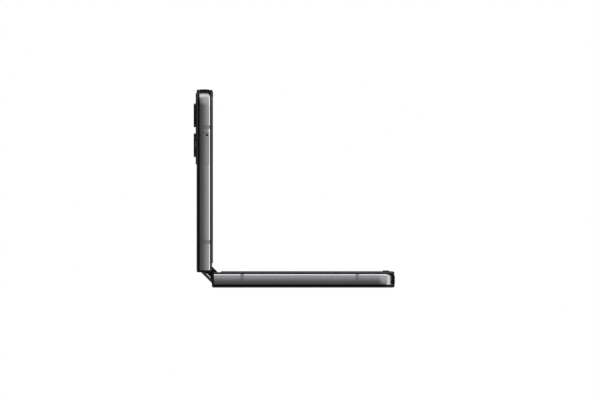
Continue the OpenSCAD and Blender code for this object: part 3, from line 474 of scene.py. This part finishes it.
def on_wall_edge(point):
    """Whether a drawn point is on the cut's lower edge or round an opening, away from the antenna bands."""
    off_bands = all(abs(point.x - band) > BAND_ROOM for band in BAND_PLACES)
    on_wall = frame_low.z + WALL_FOOT < point.z < CUT_LEVEL + NEAR
    return inset(point)[0] < NEAR and on_wall and off_bands


def on_cut(centre, normal):
    """Whether a face is on the slant cut along the edge."""
    slant = CUT_SLOPES[0] < normal.z < CUT_SLOPES[1]
    return centre.z > CUT_LEVEL - NEAR and slant and inset(centre)[0] < CUT_REACH


frame_finish = anodised("blasted_aluminium", ALUMINIUM, 0.22, 0.001, CUT_ALUMINIUM)
for half in HALVES:
    bm = drawn_copy(half + "_frame", PLACES[half])
    round_edges(bm, BACK_BREAK, 4, on_back_edge)
    round_edges(bm, CUT_BREAK, 3, on_wall_edge)
    crown_walls(bm)
    mark(bm, "cut", on_cut)
    put_in_place(
        bm, half + "_side_frame", PLACES[half], half + "_half", "frame_metal", frame_finish, half + "_frame"
    )

# Antenna bands.
# Four bars of moulded plastic in each frame part its metal for the aerials. They are painted a little
# darker than the metal, and machined flush with it.
BAND_GREY = (0.23, 0.232, 0.24)
band_finish = anodised("painted_band", BAND_GREY, 0.45, 0.004)
for half in HALVES:
    bm = drawn_copy(half + "_antenna_bands", PLACES[half])
    round_edges(bm, BACK_BREAK, 4, on_back_edge)
    crown_walls(bm)
    put_in_place(
        bm, half + "_band_inlays", PLACES[half], half + "_half", "band_plastic", band_finish,
        half + "_antenna_bands",
    )

# Back glass.
# Each half's back is one sheet of toughened glass, etched to a silky dark grey, with a rounded outer edge.
# It is glued on black foam that shows as a dark line between the glass and the metal.
GLASS_GREY = (0.03, 0.0305, 0.032)
GLASS_EDGE = 1.1
GLASS_ROUND = 0.07
GLASS_SHARP = math.radians(10)


def etched_glass(name, colour):
    """Etched glass over dark paint, with very fine sparkle."""
    material, shader, place = finish_of(name, {"Specular IOR Level": 0.2})
    sparkle = noise(place, 6.0, 2.0)
    shades(sparkle, colour, 0.8, 1.25).feed(shader, "Base Color")
    (sparkle * 0.1 + 0.33).feed(shader, "Roughness")
    grain(place, shader, 12.0, 0.0012)
    return material


def foam(name, colour):
    """Dense black foam with fine pores."""
    material, shader, place = finish_of(name, {"Specular IOR Level": 0.02, "Roughness": 0.75})
    pores = place.node("TexVoronoi", {}, {"Vector": place, "Scale": 7.0})
    shades(pores, colour, 0.5, 1.5).feed(shader, "Base Color")
    return material


def paint_nodes(material, *nodes):
    """Gives CAD nodes that stay as they are their finish."""
    for node in nodes:
        for spot in frame["nodes"][node].material_slots:
            spot.material = material


glass_finish = etched_glass("etched_back_glass", GLASS_GREY)
foam_finish = foam("black_foam", (0.002, 0.002, 0.002))
for half in HALVES:
    bm = drawn_copy(half + "_back_glass", PLACES[half])
    for vert in bm.verts:
        depth, inwards = inset(vert.co)
        if depth < GLASS_EDGE:
            vert.co += inwards * crown(inwards)
    round_edges(bm, GLASS_ROUND, 3, lambda p: inset(p)[0] < GLASS_EDGE + CROWN, GLASS_SHARP)
    put_in_place(
        bm, half + "_back_cover", PLACES[half], half + "_half", "back_glass", glass_finish,
        half + "_back_glass",
    )
paint_nodes(foam_finish, "lower_seal", "upper_seal")

# Screen rims.
# A rim of dark moulded plastic stands round each half's screen: a raised lip, which keeps the two screens
# apart when the phone is shut, over a groove whose foot meets the metal's slant cut. The groove is painted
# black as its shade, and the slope where the rubber pads sit is painted black too.
RIM_GREY = (0.045, 0.0455, 0.052)
# Black painted into the rim's groove as its shade, and onto the slope where the pads sit.
GROOVE_SHADE_AND_PAD_BLACK = (0.004, 0.004, 0.004)
GROOVE = 0.42
SLOPE_LEVEL = 7.03
RIM_EDGE = 0.7
RIM_IN, RIM_OUT = 0.54, 0.22
FOOT_OUT, FOOT_DROP = 0.06, 0.06
LIP_ROUND = 0.1
LIP_FROM = 15


def moulded(name, colour, roughness, gloss=0.3, depth=0.003, groove_shade_and_pad_colour=None):
    """Satin moulded plastic with a fine eroded grain; where it is marked groove it takes another colour, on
    the rim painted shade in the groove and black on the pad slope.
    """
    material, shader, place = finish_of(name, {"Specular IOR Level": gloss})
    cloud = noise(place, 0.8, 3.0)
    tone = shades(cloud, colour, 0.88, 1.12)
    if groove_shade_and_pad_colour:
        groove = place.node("Attribute", {"attribute_name": "groove"}, {}, "Fac")
        tone = mix(groove, tone, groove_shade_and_pad_colour)
    tone.feed(shader, "Base Color")
    (cloud * 0.08 + (roughness - 0.04)).feed(shader, "Roughness")
    grain(place, shader, 14.0, depth)
    return material


def in_groove_shade_or_pad_black(centre, pads):
    """Whether a spot on a rim is painted black: in the groove, as painted shade, or on the slope where the
    rubber pads sit.
    """
    by_pads = pads[0].x < centre.x < pads[1].x and abs(centre.y) > HALF_WIDTH - CORNER
    return centre.z < frame_high.z + GROOVE or (by_pads and centre.z > SLOPE_LEVEL)


rim_finish = moulded("rim_plastic", RIM_GREY, 0.45, 0.15, 0.003, GROOVE_SHADE_AND_PAD_BLACK)
lip_level = drawn_box("lower_rim", PLACES["lower"])[1].z
for half in HALVES:
    bm = drawn_copy(half + "_rim", PLACES[half])
    for vert in bm.verts:
        depth, inwards = inset(vert.co)
        if depth < RIM_EDGE and vert.co.z < frame_high.z + NEAR:
            vert.co += inwards * (EDGE_IN + crown(inwards) - FOOT_OUT - depth)
            vert.co.z -= FOOT_DROP
        elif depth < RIM_EDGE:
            vert.co += inwards * (RIM_IN * inwards.y ** 2 - RIM_OUT)
    round_edges(bm, LIP_ROUND, 3, lambda p: p.z > lip_level - NEAR and abs(p.y) + LENGTH - p.x > LIP_FROM)
    pads = drawn_box(half + "_buffers", PLACES[half])
    # The groove's faces get painted shade, and the faces on the slope by the pads are painted black.
    mark(bm, "groove", lambda centre, normal: in_groove_shade_or_pad_black(centre, pads))
    put_in_place(
        bm, half + "_screen_rim", PLACES[half], half + "_half", "rim_plastic", rim_finish, half + "_rim"
    )

# Hinge end caps.
# A black plastic cap closes the hinge end of each half. It is clipped over the frame's two ends and across
# its back, and hides the aerial joint there.
CAP_BLACK = (0.006, 0.006, 0.007)
CAP_ROUND = 0.08
CAP_JOINT = 0.004
cap_finish = moulded("cap_plastic", CAP_BLACK, 0.5, 0.06)
for half in HALVES:
    bm = drawn_copy(half + "_end_cap", PLACES[half])
    face = max(vert.co.x for vert in bm.verts)
    for vert in bm.verts:
        if vert.co.x > face - CAP_JOINT:
            vert.co.x = frame_low.x - CAP_JOINT
    round_edges(bm, CAP_ROUND, 2, lambda p: True)
    put_in_place(
        bm, half + "_hinge_cap", PLACES[half], half + "_half", "cap_plastic", cap_finish, half + "_end_cap"
    )

# Stiff stretches of the screen.
# The screen is a thin stack of film and ultra-thin glass, black while it is off, glued to a rolled steel
# plate in each half.
SCREEN_BLACK = (0.004, 0.004, 0.005)


def dark_screen(name, colour):
    """Smooth film over black, with the faintest ripple."""
    material, shader, place = finish_of(name, {"Specular IOR Level": 0.35, "Coat Roughness": 0.03})
    ripple = noise(place, 0.05, 1.0)
    shades(ripple, colour, 0.8, 1.2).feed(shader, "Base Color")
    (ripple * 0.03 + 0.07).feed(shader, "Roughness")
    grain(place, shader, 0.4, 0.002)
    return material


def rolled_steel(name, colour, roughness, along=(0.4, 12.0, 12.0)):
    """Steel with the fine lines of rolling, grinding or drawing along one axis."""
    material, shader, place = finish_of(name, {"Metallic": 1.0})
    lines = noise(place.node("Mapping", {}, {"Vector": place, "Scale": along}), 1.0, 4.0)
    shades(lines, colour, 0.85, 1.1).feed(shader, "Base Color")
    (lines * 0.15 + (roughness - 0.07)).feed(shader, "Roughness")
    relief(lines, shader, 0.002)
    return material


screen_finish = dark_screen("dark_screen", SCREEN_BLACK)
plate_finish = rolled_steel("rolled_plate", (0.55, 0.55, 0.56), 0.35)
paint_nodes(screen_finish, "lower_screen", "upper_screen")
paint_nodes(plate_finish, "lower_screen_plate", "upper_screen_plate")

# Folding stretch of the screen.
# Between the stiff stretches the same film is drawn as it lies with the phone half open: it hangs in a soft
# hollow over the spine and its two edges meet the two halves. It is made of two strips that meet in the
# middle.
FOLD_REACH = 4.31
FOLD_LENGTH = 64.5
FILM = 0.4
AXIS_DEPTH = 0.926
FOLD_STEPS = 28
HALF_FOLD = math.radians(45)
lower_axis, upper_axis = (Vector(joint["pos_m"]) for joint in frame["joints"][:2])
AXIS_X = (lower_axis - upper_axis).length / 2 / MM
AXIS_Z = (PLACES["lower"].inverted() @ lower_axis).z
across = (lower_axis - upper_axis).normalized()
upwards = Vector((-across.z, 0, across.x))
spine_middle = (lower_axis + upper_axis) / 2 - upwards * AXIS_Z * MM
SPINE_PLACE = Matrix((
    (across.x * MM, 0, upwards.x * MM, spine_middle.x),
    (0, MM, 0, 0),
    (across.z * MM, 0, upwards.z * MM, spine_middle.z),
    (0, 0, 0, 1),
))


def fold_point(reach, height, y=0.0):
    """Where the film is when the phone is half open: reach from the middle, height over the hinge axes."""
    share = reach / FOLD_REACH
    turn = HALF_FOLD * share * share * (3 - 2 * share)
    x = reach - AXIS_X
    return Vector((
        AXIS_X + x * math.cos(turn) - height * math.sin(turn),
        y,
        AXIS_Z + x * math.sin(turn) + height * math.cos(turn),
    ))


for half, side in (("lower", 1), ("upper", -1)):
    place = SPINE_PLACE @ Matrix.Diagonal((side, 1, 1, 1))
    bm = bmesh.new()
    bmesh.ops.create_grid(bm, x_segments=FOLD_STEPS, y_segments=4, size=0.5)
    film = bmesh.ops.extrude_face_region(bm, geom=bm.faces[:])["geom"]
    top = {v for v in film if isinstance(v, bmesh.types.BMVert)}
    for vert in bm.verts:
        height = AXIS_DEPTH if vert in top else AXIS_DEPTH - FILM
        vert.co = fold_point((vert.co.x + 0.5) * FOLD_REACH, height, vert.co.y * FOLD_LENGTH)
    strip = put_in_place(
        bm, "folding_film_" + half, place, None, "screen_glass", screen_finish, "screen_fold"
    )
    start, end = (place @ fold_point(reach, AXIS_DEPTH) for reach in (0, FOLD_REACH))
    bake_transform(strip)

# Spine.
# A polished aluminium cover wraps the back of the hinge: each end is rounded at the back and slant cut at
# the front. Black plastic caps close its ends, each with a small shield over the edge of the film.
SPINE_GREY = (0.14, 0.142, 0.148)
SPINE_BREAK = 0.06
SPINE_SHAPED = 3.8
END_LEVELS = (0.0, 0.12, 0.3, 0.6, 1.05, 1.2, 1.6)
END_DRAWN_IN = (0.5, 0.3, 0.16, 0.06, 0.0, 0.0, 0.13)
END_DEPTH = 0.2
END_SLOPES = (0.1, 0.6)
spine_finish = anodised("polished_spine", SPINE_GREY, 0.2, 0.001, CUT_ALUMINIUM)
bm = drawn_copy("spine_cover", SPINE_PLACE)
spine_bottom = min(vert.co.z for vert in bm.verts)
spine_end = max(vert.co.y for vert in bm.verts)
planes = [((0, 0, spine_bottom + level), (0, 0, 1)) for level in END_LEVELS[1:-1]]
planes += [((side * SPINE_SHAPED, 0, 0), (1, 0, 0)) for side in (-1, 1)]
for point, way in planes:
    ends = [face for face in bm.faces if abs(face.calc_center_median().y) > spine_end - NEAR]
    divide(bm, ends, point, way)
for vert in bm.verts:
    if abs(vert.co.y) > spine_end - NEAR and abs(vert.co.x) < SPINE_SHAPED + NEAR:
        for level, drawn_in in zip(END_LEVELS, END_DRAWN_IN):
            if abs(vert.co.z - spine_bottom - level) < NEAR:
                vert.co.y -= math.copysign(drawn_in, vert.co.y)


def on_end_cut(centre, normal):
    """Whether a face is on the slant cut along the inner edge of an end wall."""
    on_end = abs(centre.x) < SPINE_SHAPED and abs(centre.y) > spine_end - END_DEPTH
    slant = END_SLOPES[0] < normal.z < END_SLOPES[1]
    return on_end and slant and centre.z > spine_bottom + END_LEVELS[-2]


mark(bm, "cut", on_end_cut)
put_in_place(bm, "spine_shell", SPINE_PLACE, "spine", "spine_metal", spine_finish, "spine_cover")
bm = drawn_copy("spine_end_caps", SPINE_PLACE)
round_edges(bm, SPINE_BREAK, 2, lambda p: p.z > AXIS_Z)
put_in_place(bm, "spine_shields", SPINE_PLACE, "spine", "cap_plastic", cap_finish, "spine_end_caps")

# Hinge works.
# Moulded steel brackets, leaves and a pair of geared arms let both halves turn together about two axes.
# They are closed in behind the film and the spine cover.
hinge_finish = anodised("moulded_steel", (0.5, 0.5, 0.52), 0.35, 0.006)
gear_finish = anodised("sintered_gears", (0.55, 0.5, 0.37), 0.4, 0.01)
screw_finish = rolled_steel("turned_screws", (0.5, 0.5, 0.5), 0.3, (8.0, 8.0, 1.0))
paint_nodes(hinge_finish, "hinge_brackets", "lower_hinge_leaves", "upper_hinge_leaves", "friction_clips")
paint_nodes(hinge_finish, "gear_bracket")
paint_nodes(gear_finish, "lower_gear_arm", "upper_gear_arm", "lower_idler_gear", "upper_idler_gear")
paint_nodes(screw_finish, "gear_pins", "spine_screws", "lower_screws", "upper_screws")
paint_nodes(plate_finish, "fold_support")

# Batteries and charging coil.
# Each half holds a flat foil pouch. Under the lower one lies the flat coil of copper wire that charges the
# phone through its back.
COIL_PITCH = 0.55


def foil_pouch(name, colour):
    """Slightly crumpled laminated foil."""
    material, shader, place = finish_of(name, {"Metallic": 0.7})
    crumple = noise(place, 0.35, 4.0)
    shades(crumple, colour, 0.8, 1.2).feed(shader, "Base Color")
    (crumple * 0.2 + 0.3).feed(shader, "Roughness")
    relief(crumple, shader, 0.06)
    return material


def ripples(way, pitch):
    """Waves from 0 to 1 along a way, one to each pitch."""
    return way.sum("SINE", way * (2 * math.pi / pitch), 0.0) * 0.5 + 0.5


def wound_wire(name, colour, node, pitch):
    """Copper wire wound flat about the middle of a node, each turn standing up a little."""
    material, shader, place = finish_of(name, {"Metallic": 1.0, "Roughness": 0.3})
    low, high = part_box(node)
    middle = (low + high) / 2 / MM
    about = place.node("VectorMath", {"operation": "SUBTRACT"}, {0: place, 1: (middle.x, middle.y, 0)})
    flat = place.node("VectorMath", {"operation": "MULTIPLY"}, {0: about, 1: (1, 1, 0)})
    turns = ripples(place.node("VectorMath", {"operation": "LENGTH"}, {0: flat}, "Value"), pitch)
    shades(turns, colour, 0.35, 1.1).feed(shader, "Base Color")
    relief(turns, shader, 0.08)
    return material


paint_nodes(foil_pouch("battery_pouch", (0.12, 0.12, 0.13)), "lower_battery", "upper_battery")
coil_finish = wound_wire("copper_turns", (0.65, 0.36, 0.16), "charging_coil", COIL_PITCH)
paint_nodes(coil_finish, "charging_coil")

# Circuit boards.
# The two boards are green glass-fibre laminate with buried copper tracks. A pressed steel can covers the
# chips of the upper one, and a metal cage beside it takes the card tray.


def laminate(name, colour):
    """Solder mask with the faint relief of the tracks under it."""
    material, shader, place = finish_of(name, {"Coat Weight": 0.3, "Coat Roughness": 0.2})
    tracks = place.node("TexBrick", {"offset": 0.35}, {
        "Vector": place, "Scale": 0.9, "Mortar Size": 0.12, "Mortar": (1, 1, 1, 1),
        "Color1": (0, 0, 0, 1), "Color2": (0.35, 0.35, 0.35, 1),
    })
    shades(tracks, colour, 0.7, 1.5).feed(shader, "Base Color")
    (0.5 - tracks * 0.1).feed(shader, "Roughness")
    relief(tracks, shader, 0.02)
    return material


paint_nodes(laminate("solder_mask", (0.02, 0.09, 0.045)), "lower_board", "main_board")
can_finish = rolled_steel("pressed_can", (0.58, 0.58, 0.58), 0.3)
paint_nodes(can_finish, "board_shield", "card_reader", "vibration_motor")

# Charging socket.
# A drawn steel tube with round ends lines the opening at the lower half's free end. The black tongue inside
# it carries a row of gilt contacts on each face.
SOCKET_BREAK = 0.09
SOCKET_MOUTH = 0.3
CONTACTS = 12
CONTACT_STEP = 0.5
CONTACT_SIZE = (3.6, 0.24, 0.03)
CONTACT_IN = 0.5
socket_finish = rolled_steel("drawn_socket", (0.55, 0.55, 0.56), 0.25)
bm = drawn_copy("charging_socket", PLACES["lower"])
round_edges(bm, SOCKET_BREAK, 3, lambda p: p.x > LENGTH - SOCKET_MOUTH)
put_in_place(
    bm, "socket_shell", PLACES["lower"], "lower_half", "socket_steel", socket_finish, "charging_socket"
)
module_finish = moulded("module_plastic", (0.02, 0.02, 0.021), 0.5, 0.2)
paint_nodes(module_finish, "socket_tongue")


def block(bm, middle, size):
    """A plain block with its middle at a drawn point."""
    bmesh.ops.create_cube(bm, size=1, matrix=Matrix.Translation(middle) @ Matrix.Diagonal((*size, 1)))


tongue_low, tongue_high = drawn_box("socket_tongue", PLACES["lower"])
contact_middle = tongue_high.x - CONTACT_IN - CONTACT_SIZE[0] / 2
bm = bmesh.new()
for level in (tongue_low.z, tongue_high.z):
    for i in range(CONTACTS):
        block(bm, (contact_middle, (i - (CONTACTS - 1) / 2) * CONTACT_STEP, level), CONTACT_SIZE)
gilt_finish = anodised("gilt_contacts", (0.75, 0.55, 0.22), 0.25, 0.001)
put_in_place(bm, "socket_contacts", PLACES["lower"], "lower_half", "socket_steel", gilt_finish)

# Loudspeaker and earpiece.
# Both are closed black modules. The loudspeaker's mouth is covered by a woven steel mesh that shows as a
# dark weave through the sound slots beside the socket.
MESH_THICK = 0.12
MESH_RISE = 2.0
MESH_PITCH = 0.22
MESH_IN = 0.1
MESH_SIDES = 1.4


def woven_mesh(name, colour, pitch):
    """Two crossing sets of fine wires; what lies between them is black."""
    material, shader, place = finish_of(name, {"Metallic": 0.8, "Roughness": 0.45})
    rows = [ripples(place.node("SeparateXYZ", {}, {0: place}, axis), pitch) for axis in ("Y", "Z")]
    wires = place.sum("MAXIMUM", *rows)
    shades(wires, colour, 0.02, 1.2).feed(shader, "Base Color")
    relief(wires, shader, 0.05)
    return material


paint_nodes(module_finish, "loudspeaker", "earpiece")
speaker_low, speaker_high = drawn_box("loudspeaker", PLACES["lower"])
mouth = (speaker_low + speaker_high) / 2
mouth.x = speaker_high.x + MESH_IN + MESH_THICK / 2
mouth.z = (frame_low.z + CUT_LEVEL) / 2
bm = bmesh.new()
block(bm, mouth, (MESH_THICK, speaker_high.y - speaker_low.y - MESH_SIDES, MESH_RISE))
mesh_finish = woven_mesh("steel_mesh", (0.1, 0.1, 0.1), MESH_PITCH)
put_in_place(bm, "speaker_mesh", PLACES["lower"], "lower_half", "module_plastic", mesh_finish)

# Black window.
# The upper half's back has a raised sheet of glossy black glass over the small outer screen, with round
# holes for the two cameras and a clear place for the lamp.
WINDOW_ROUND = 0.25
WINDOW_EDGE = 12
upper_place = PLACES["upper"]
window_low = drawn_box("black_window", upper_place)[0]


def glossy_black(name, colour):
    """Polished black glass."""
    material, shader, place = finish_of(name, {"Specular IOR Level": 0.25})
    cloud = noise(place, 0.1, 2.0)
    shades(cloud, colour, 0.8, 1.2).feed(shader, "Base Color")
    (cloud * 0.03 + 0.03).feed(shader, "Roughness")
    grain(place, shader, 0.25, 0.0015)
    return material


window_finish = glossy_black("window_glass", (0.003, 0.003, 0.0035))
bm = drawn_copy("black_window", upper_place)
round_edges(bm, WINDOW_ROUND, 3, lambda p: p.z < window_low.z + NEAR and inset(p)[0] < WINDOW_EDGE)
put_in_place(bm, "camera_window", upper_place, "upper_half", "window_glass", window_finish, "black_window")
paint_nodes(screen_finish, "cover_screen")

# Cameras.
# Each camera has a turned ring of black anodised aluminium with a thin flange, a flat clear cover, and a
# stepped black barrel with a domed front element deep inside.
RING_PROFILE = (
    (4.35, 0.9), (5.35, 0.9), (5.35, -0.42), (5.43, -0.44), (5.43, -0.5), (5.4, -0.55), (5.22, -0.55),
    (5.22, -0.65), (5.38, -0.65), (5.42, -0.68), (5.42, -1.05), (5.36, -1.18), (5.25, -1.27), (5.12, -1.3),
    (4.62, -1.3), (4.5, -1.26), (4.35, -1.08),
)
COVER_PROFILE = ((0, -0.78), (4.32, -0.78), (4.32, -1.0), (4.27, -1.05), (0, -1.05))
BARREL_PROFILE = (
    (0, 0.6), (3.4, 0.6), (4.3, 0.5), (4.3, -0.55), (4.1, -0.62), (3.75, -0.6), (3.6, -0.4), (3.0, -0.36),
    (2.95, -0.16), (2.45, -0.12), (2.4, 0.08), (1.95, 0.12), (1.9, 0.3), (0, 0.3),
)
ELEMENT_PROFILE = ((0, 0.29), (1.86, 0.29), (1.86, 0.22), (1.6, 0.1), (1.2, 0.0), (0.7, -0.07), (0, -0.1))
TURNS, SMALL_TURNS = 96, 48
COATING = (0.002, 0.003, 0.006)
ELEMENT_REACH, FRONT_LENS_REACH = 1.9, 1.1
CAN_TOP = 1.0
CAN_ROUND = 0.3
ring_low, ring_high = drawn_box("camera_rings", upper_place)
ring_reach = RING_PROFILE[1][0]
camera_y = (ring_low.y + ring_high.y) / 2
CAMERA_SPOTS = [(u, camera_y) for u in (ring_high.x - ring_reach, ring_low.x + ring_reach)]


def turned(bm, profile, spot, steps=TURNS):
    """Turns a profile of (radius, level) points about an axis square to the back, like a lathe."""
    verts = [bm.verts.new((spot[0] + r, spot[1], level)) for r, level in profile]
    closed = min(r for r, level in profile) > 0
    edges = [bm.edges.new(pair) for pair in zip(verts, verts[1:] + verts[:1] if closed else verts[1:])]
    bmesh.ops.spin(
        bm, geom=verts + edges, cent=(*spot, 0), axis=(0, 0, 1), angle=2 * math.pi, steps=steps,
        use_merge=True,
    )
    bmesh.ops.remove_doubles(bm, verts=bm.verts, dist=JOIN)


def lens_coating(name, colour, rim, spots, reach):
    """Coated glass: near black in the middle, with a faint blue and violet bloom towards its rim."""
    shine = {"Specular IOR Level": 0.8, "Coat Weight": 1.0, "Coat Roughness": 0.02}
    material, shader, place = finish_of(name, shine)
    nearest = reach
    for spot in spots:
        middle = upper_place @ Vector((*spot, 0)) / MM
        off = place.node("VectorMath", {"operation": "SUBTRACT"}, {0: place, 1: middle})
        flat = place.node("VectorMath", {"operation": "MULTIPLY"}, {0: off, 1: (0, 1, 1)})
        far = place.node("VectorMath", {"operation": "LENGTH"}, {0: flat}, "Value")
        nearest = place.sum("MINIMUM", far, nearest)
    bloom = place.sum("POWER", nearest * (1 / reach), 3.0)
    mix(bloom, colour, rim).feed(shader, "Base Color")
    (bloom * 0.05 + 0.02).feed(shader, "Roughness")
    return material


def clear_glass(name):
    """Clear cover glass, a little smoky."""
    material, paint, surface = empty_material(name)
    place = paint.node("TexCoord", {}, {}, "Object")
    haze = paint.node("TexNoise", {}, {"Vector": place, "Scale": 300.0})
    gloss = paint.node("BsdfGlossy", {}, {"Roughness": 0.02})
    through = paint.node("BsdfTransparent", {}, {"Color": (0.86, 0.87, 0.88, 1)})
    weight = paint.node("Fresnel", {}, {"IOR": 1.45}) * (haze * 0.1 + 0.9)
    mixed = paint.node("MixShader", {}, {0: weight, 1: through, 2: gloss})
    paint.tree.links.new(mixed.socket, surface)
    return material


ring_finish = moulded("black_anodised", (0.004, 0.004, 0.005), 0.2, 0.15, 0.001)
barrel_finish = moulded("black_barrel", (0.003, 0.003, 0.003), 0.55, 0.15)
element_finish = lens_coating("coated_element", COATING, (0.03, 0.012, 0.07), CAMERA_SPOTS, ELEMENT_REACH)
cover_finish = clear_glass("clear_cover")
for name, slot, profile, material, nodes in (
    ("camera_collars", "camera_metal", RING_PROFILE, ring_finish, ["camera_rings"]),
    ("camera_covers", "lens_glass", COVER_PROFILE, cover_finish, ["camera_lenses"]),
    ("camera_barrels", "module_plastic", BARREL_PROFILE, barrel_finish, []),
    ("camera_elements", "lens_glass", ELEMENT_PROFILE, element_finish, []),
):
    bm = bmesh.new()
    for spot in CAMERA_SPOTS:
        turned(bm, profile, spot)
    put_in_place(bm, name, upper_place, "upper_half", slot, material, *nodes)
module_low, module_high = drawn_box("camera_modules", upper_place)
module_side = module_high.y - module_low.y
bm = bmesh.new()
for spot in CAMERA_SPOTS:
    block(bm, (*spot, (CAN_TOP + module_high.z) / 2), (module_side, module_side, module_high.z - CAN_TOP))
round_edges(bm, CAN_ROUND, 3, lambda p: True)
put_in_place(
    bm, "camera_cans", upper_place, "upper_half", "module_plastic", module_finish, "camera_modules"
)

# Lamp.
# A small disc of clear ribbed plastic covers the two light chips beside the lower camera.
LAMP_RIBS = 7
lamp_low, lamp_high = drawn_box("lamp_lens", upper_place)
lamp_spot = ((lamp_low.x + lamp_high.x) / 2, (lamp_low.y + lamp_high.y) / 2)
lamp_reach = (lamp_high.x - lamp_low.x) / 2
rib = (lamp_high.z - lamp_low.z) / 2
LAMP_PROFILE = [(0, lamp_high.z), (lamp_reach, lamp_high.z), (lamp_reach, lamp_low.z + rib)]
for i in range(LAMP_RIBS, 0, -1):
    step = lamp_reach / (LAMP_RIBS + 1)
    LAMP_PROFILE += [(step * i + step / 2, lamp_low.z), (step * i, lamp_low.z + rib)]
LAMP_PROFILE.append((0, lamp_low.z))


def ribbed_plastic(name, warm, pale):
    """Milky plastic over yellow phosphor: warmer in patches."""
    material, shader, place = finish_of(name, {"Specular IOR Level": 0.5, "Coat Weight": 0.5})
    patches = noise(place, 0.9, 1.0)
    mix(patches, warm, pale).feed(shader, "Base Color")
    (patches * 0.1 + 0.2).feed(shader, "Roughness")
    return material


lamp_finish = ribbed_plastic("lamp_plastic", (0.75, 0.62, 0.3), (0.8, 0.78, 0.68))
bm = bmesh.new()
turned(bm, LAMP_PROFILE, lamp_spot, SMALL_TURNS)
put_in_place(bm, "lamp_disc", upper_place, "upper_half", "lamp_plastic", lamp_finish, "lamp_lens")

# Front camera.
# A small camera looks out through a round hole in the upper half's screen: a black barrel round a tiny
# coated lens.
front_low, front_high = drawn_box("front_camera", upper_place)
front_spot = ((front_low.x + front_high.x) / 2, 0)
front_reach = (front_high.x - front_low.x) / 2
FRONT_PROFILE = (
    (0, front_low.z), (front_reach, front_low.z), (front_reach, front_high.z - 0.05),
    (front_reach - 0.05, front_high.z), (1.3, front_high.z), (1.1, front_high.z - 0.25),
    (0, front_high.z - 0.25),
)
FRONT_LENS = (
    (0, front_high.z - 0.24), (1.08, front_high.z - 0.24), (0.95, front_high.z - 0.12),
    (0.5, front_high.z - 0.03), (0, front_high.z),
)
front_finish = lens_coating("front_coating", COATING, (0.02, 0.012, 0.05), [front_spot], FRONT_LENS_REACH)
for name, slot, profile, material, nodes in (
    ("front_barrel", "module_plastic", FRONT_PROFILE, barrel_finish, ["front_camera"]),
    ("front_element", "lens_glass", FRONT_LENS, front_finish, []),
):
    bm = bmesh.new()
    turned(bm, profile, front_spot, SMALL_TURNS)
    put_in_place(bm, name, upper_place, "upper_half", slot, material, *nodes)

# Side keys.
# The volume key and the power key are machined and anodised like the frame. Each stands in its own hole in
# the side wall, held by a flange, and presses on small switches.
KEY_ROUND = 0.15
key_finish = anodised("key_metal", ALUMINIUM, 0.24)
paint_nodes(can_finish, "key_switches")
for name, body in (("volume_key", "volume_button"), ("power_key", "power_button")):
    bm = drawn_copy(name, upper_place)
    face = max(vert.co.y for vert in bm.verts)
    round_edges(bm, KEY_ROUND, 3, lambda p: p.y > face - NEAR)
    put_in_place(bm, name + "_cap", upper_place, body, "key_metal", key_finish, name)

# Card tray.
# The tray's door is part of the frame's side, a shade darker, and has a small hole for the pin that pushes
# it out. A black disc set behind the face fills the hole as painted shade.
TRAY_SHADE = 0.95
PIN_SPOT = (61.89, 4.715)
PIN_RADIUS = 0.49
PIN_SHADE_THICKNESS = 0.2
PIN_IN = 0.45
PIN_SIDES = 32
tray_finish = anodised("tray_metal", [c * TRAY_SHADE for c in ALUMINIUM], 0.24)
bm = drawn_copy("card_tray", upper_place)
round_edges(bm, EDGE_BREAK, 2, lambda p: inset(p)[0] < NEAR)
crown_walls(bm)
mark(bm, "cut", on_cut)
put_in_place(bm, "tray_with_door", upper_place, "tray", "tray_metal", tray_finish, "card_tray")
# A black disc inside the pin hole is painted shade: it makes the hole read dark.
pin_place = Matrix.Translation((PIN_SPOT[0], PIN_IN - HALF_WIDTH, PIN_SPOT[1]))
bm = bmesh.new()
bmesh.ops.create_cone(
    bm, cap_ends=True, segments=PIN_SIDES, radius1=PIN_RADIUS, radius2=PIN_RADIUS, depth=PIN_SHADE_THICKNESS,
    matrix=pin_place @ Matrix.Rotation(math.pi / 2, 4, "X"),
)
put_in_place(bm, "pin_hole_shade", upper_place, "tray", "module_plastic", foam_finish)

# Buffers.
# Soft rubber pads on the round corners of each rim take the shock when the phone snaps shut.
PAD_ROUND = 0.28
pad_finish = moulded("buffer_rubber", (0.008, 0.008, 0.009), 0.6, 0.2, 0.006)
for half in HALVES:
    bm = drawn_copy(half + "_buffers", PLACES[half])
    top = max(vert.co.z for vert in bm.verts)
    round_edges(bm, PAD_ROUND, 4, lambda p: p.z > top - NEAR)
    put_in_place(
        bm, half + "_corner_pads", PLACES[half], half + "_half", "buffer_rubber", pad_finish,
        half + "_buffers",
    )
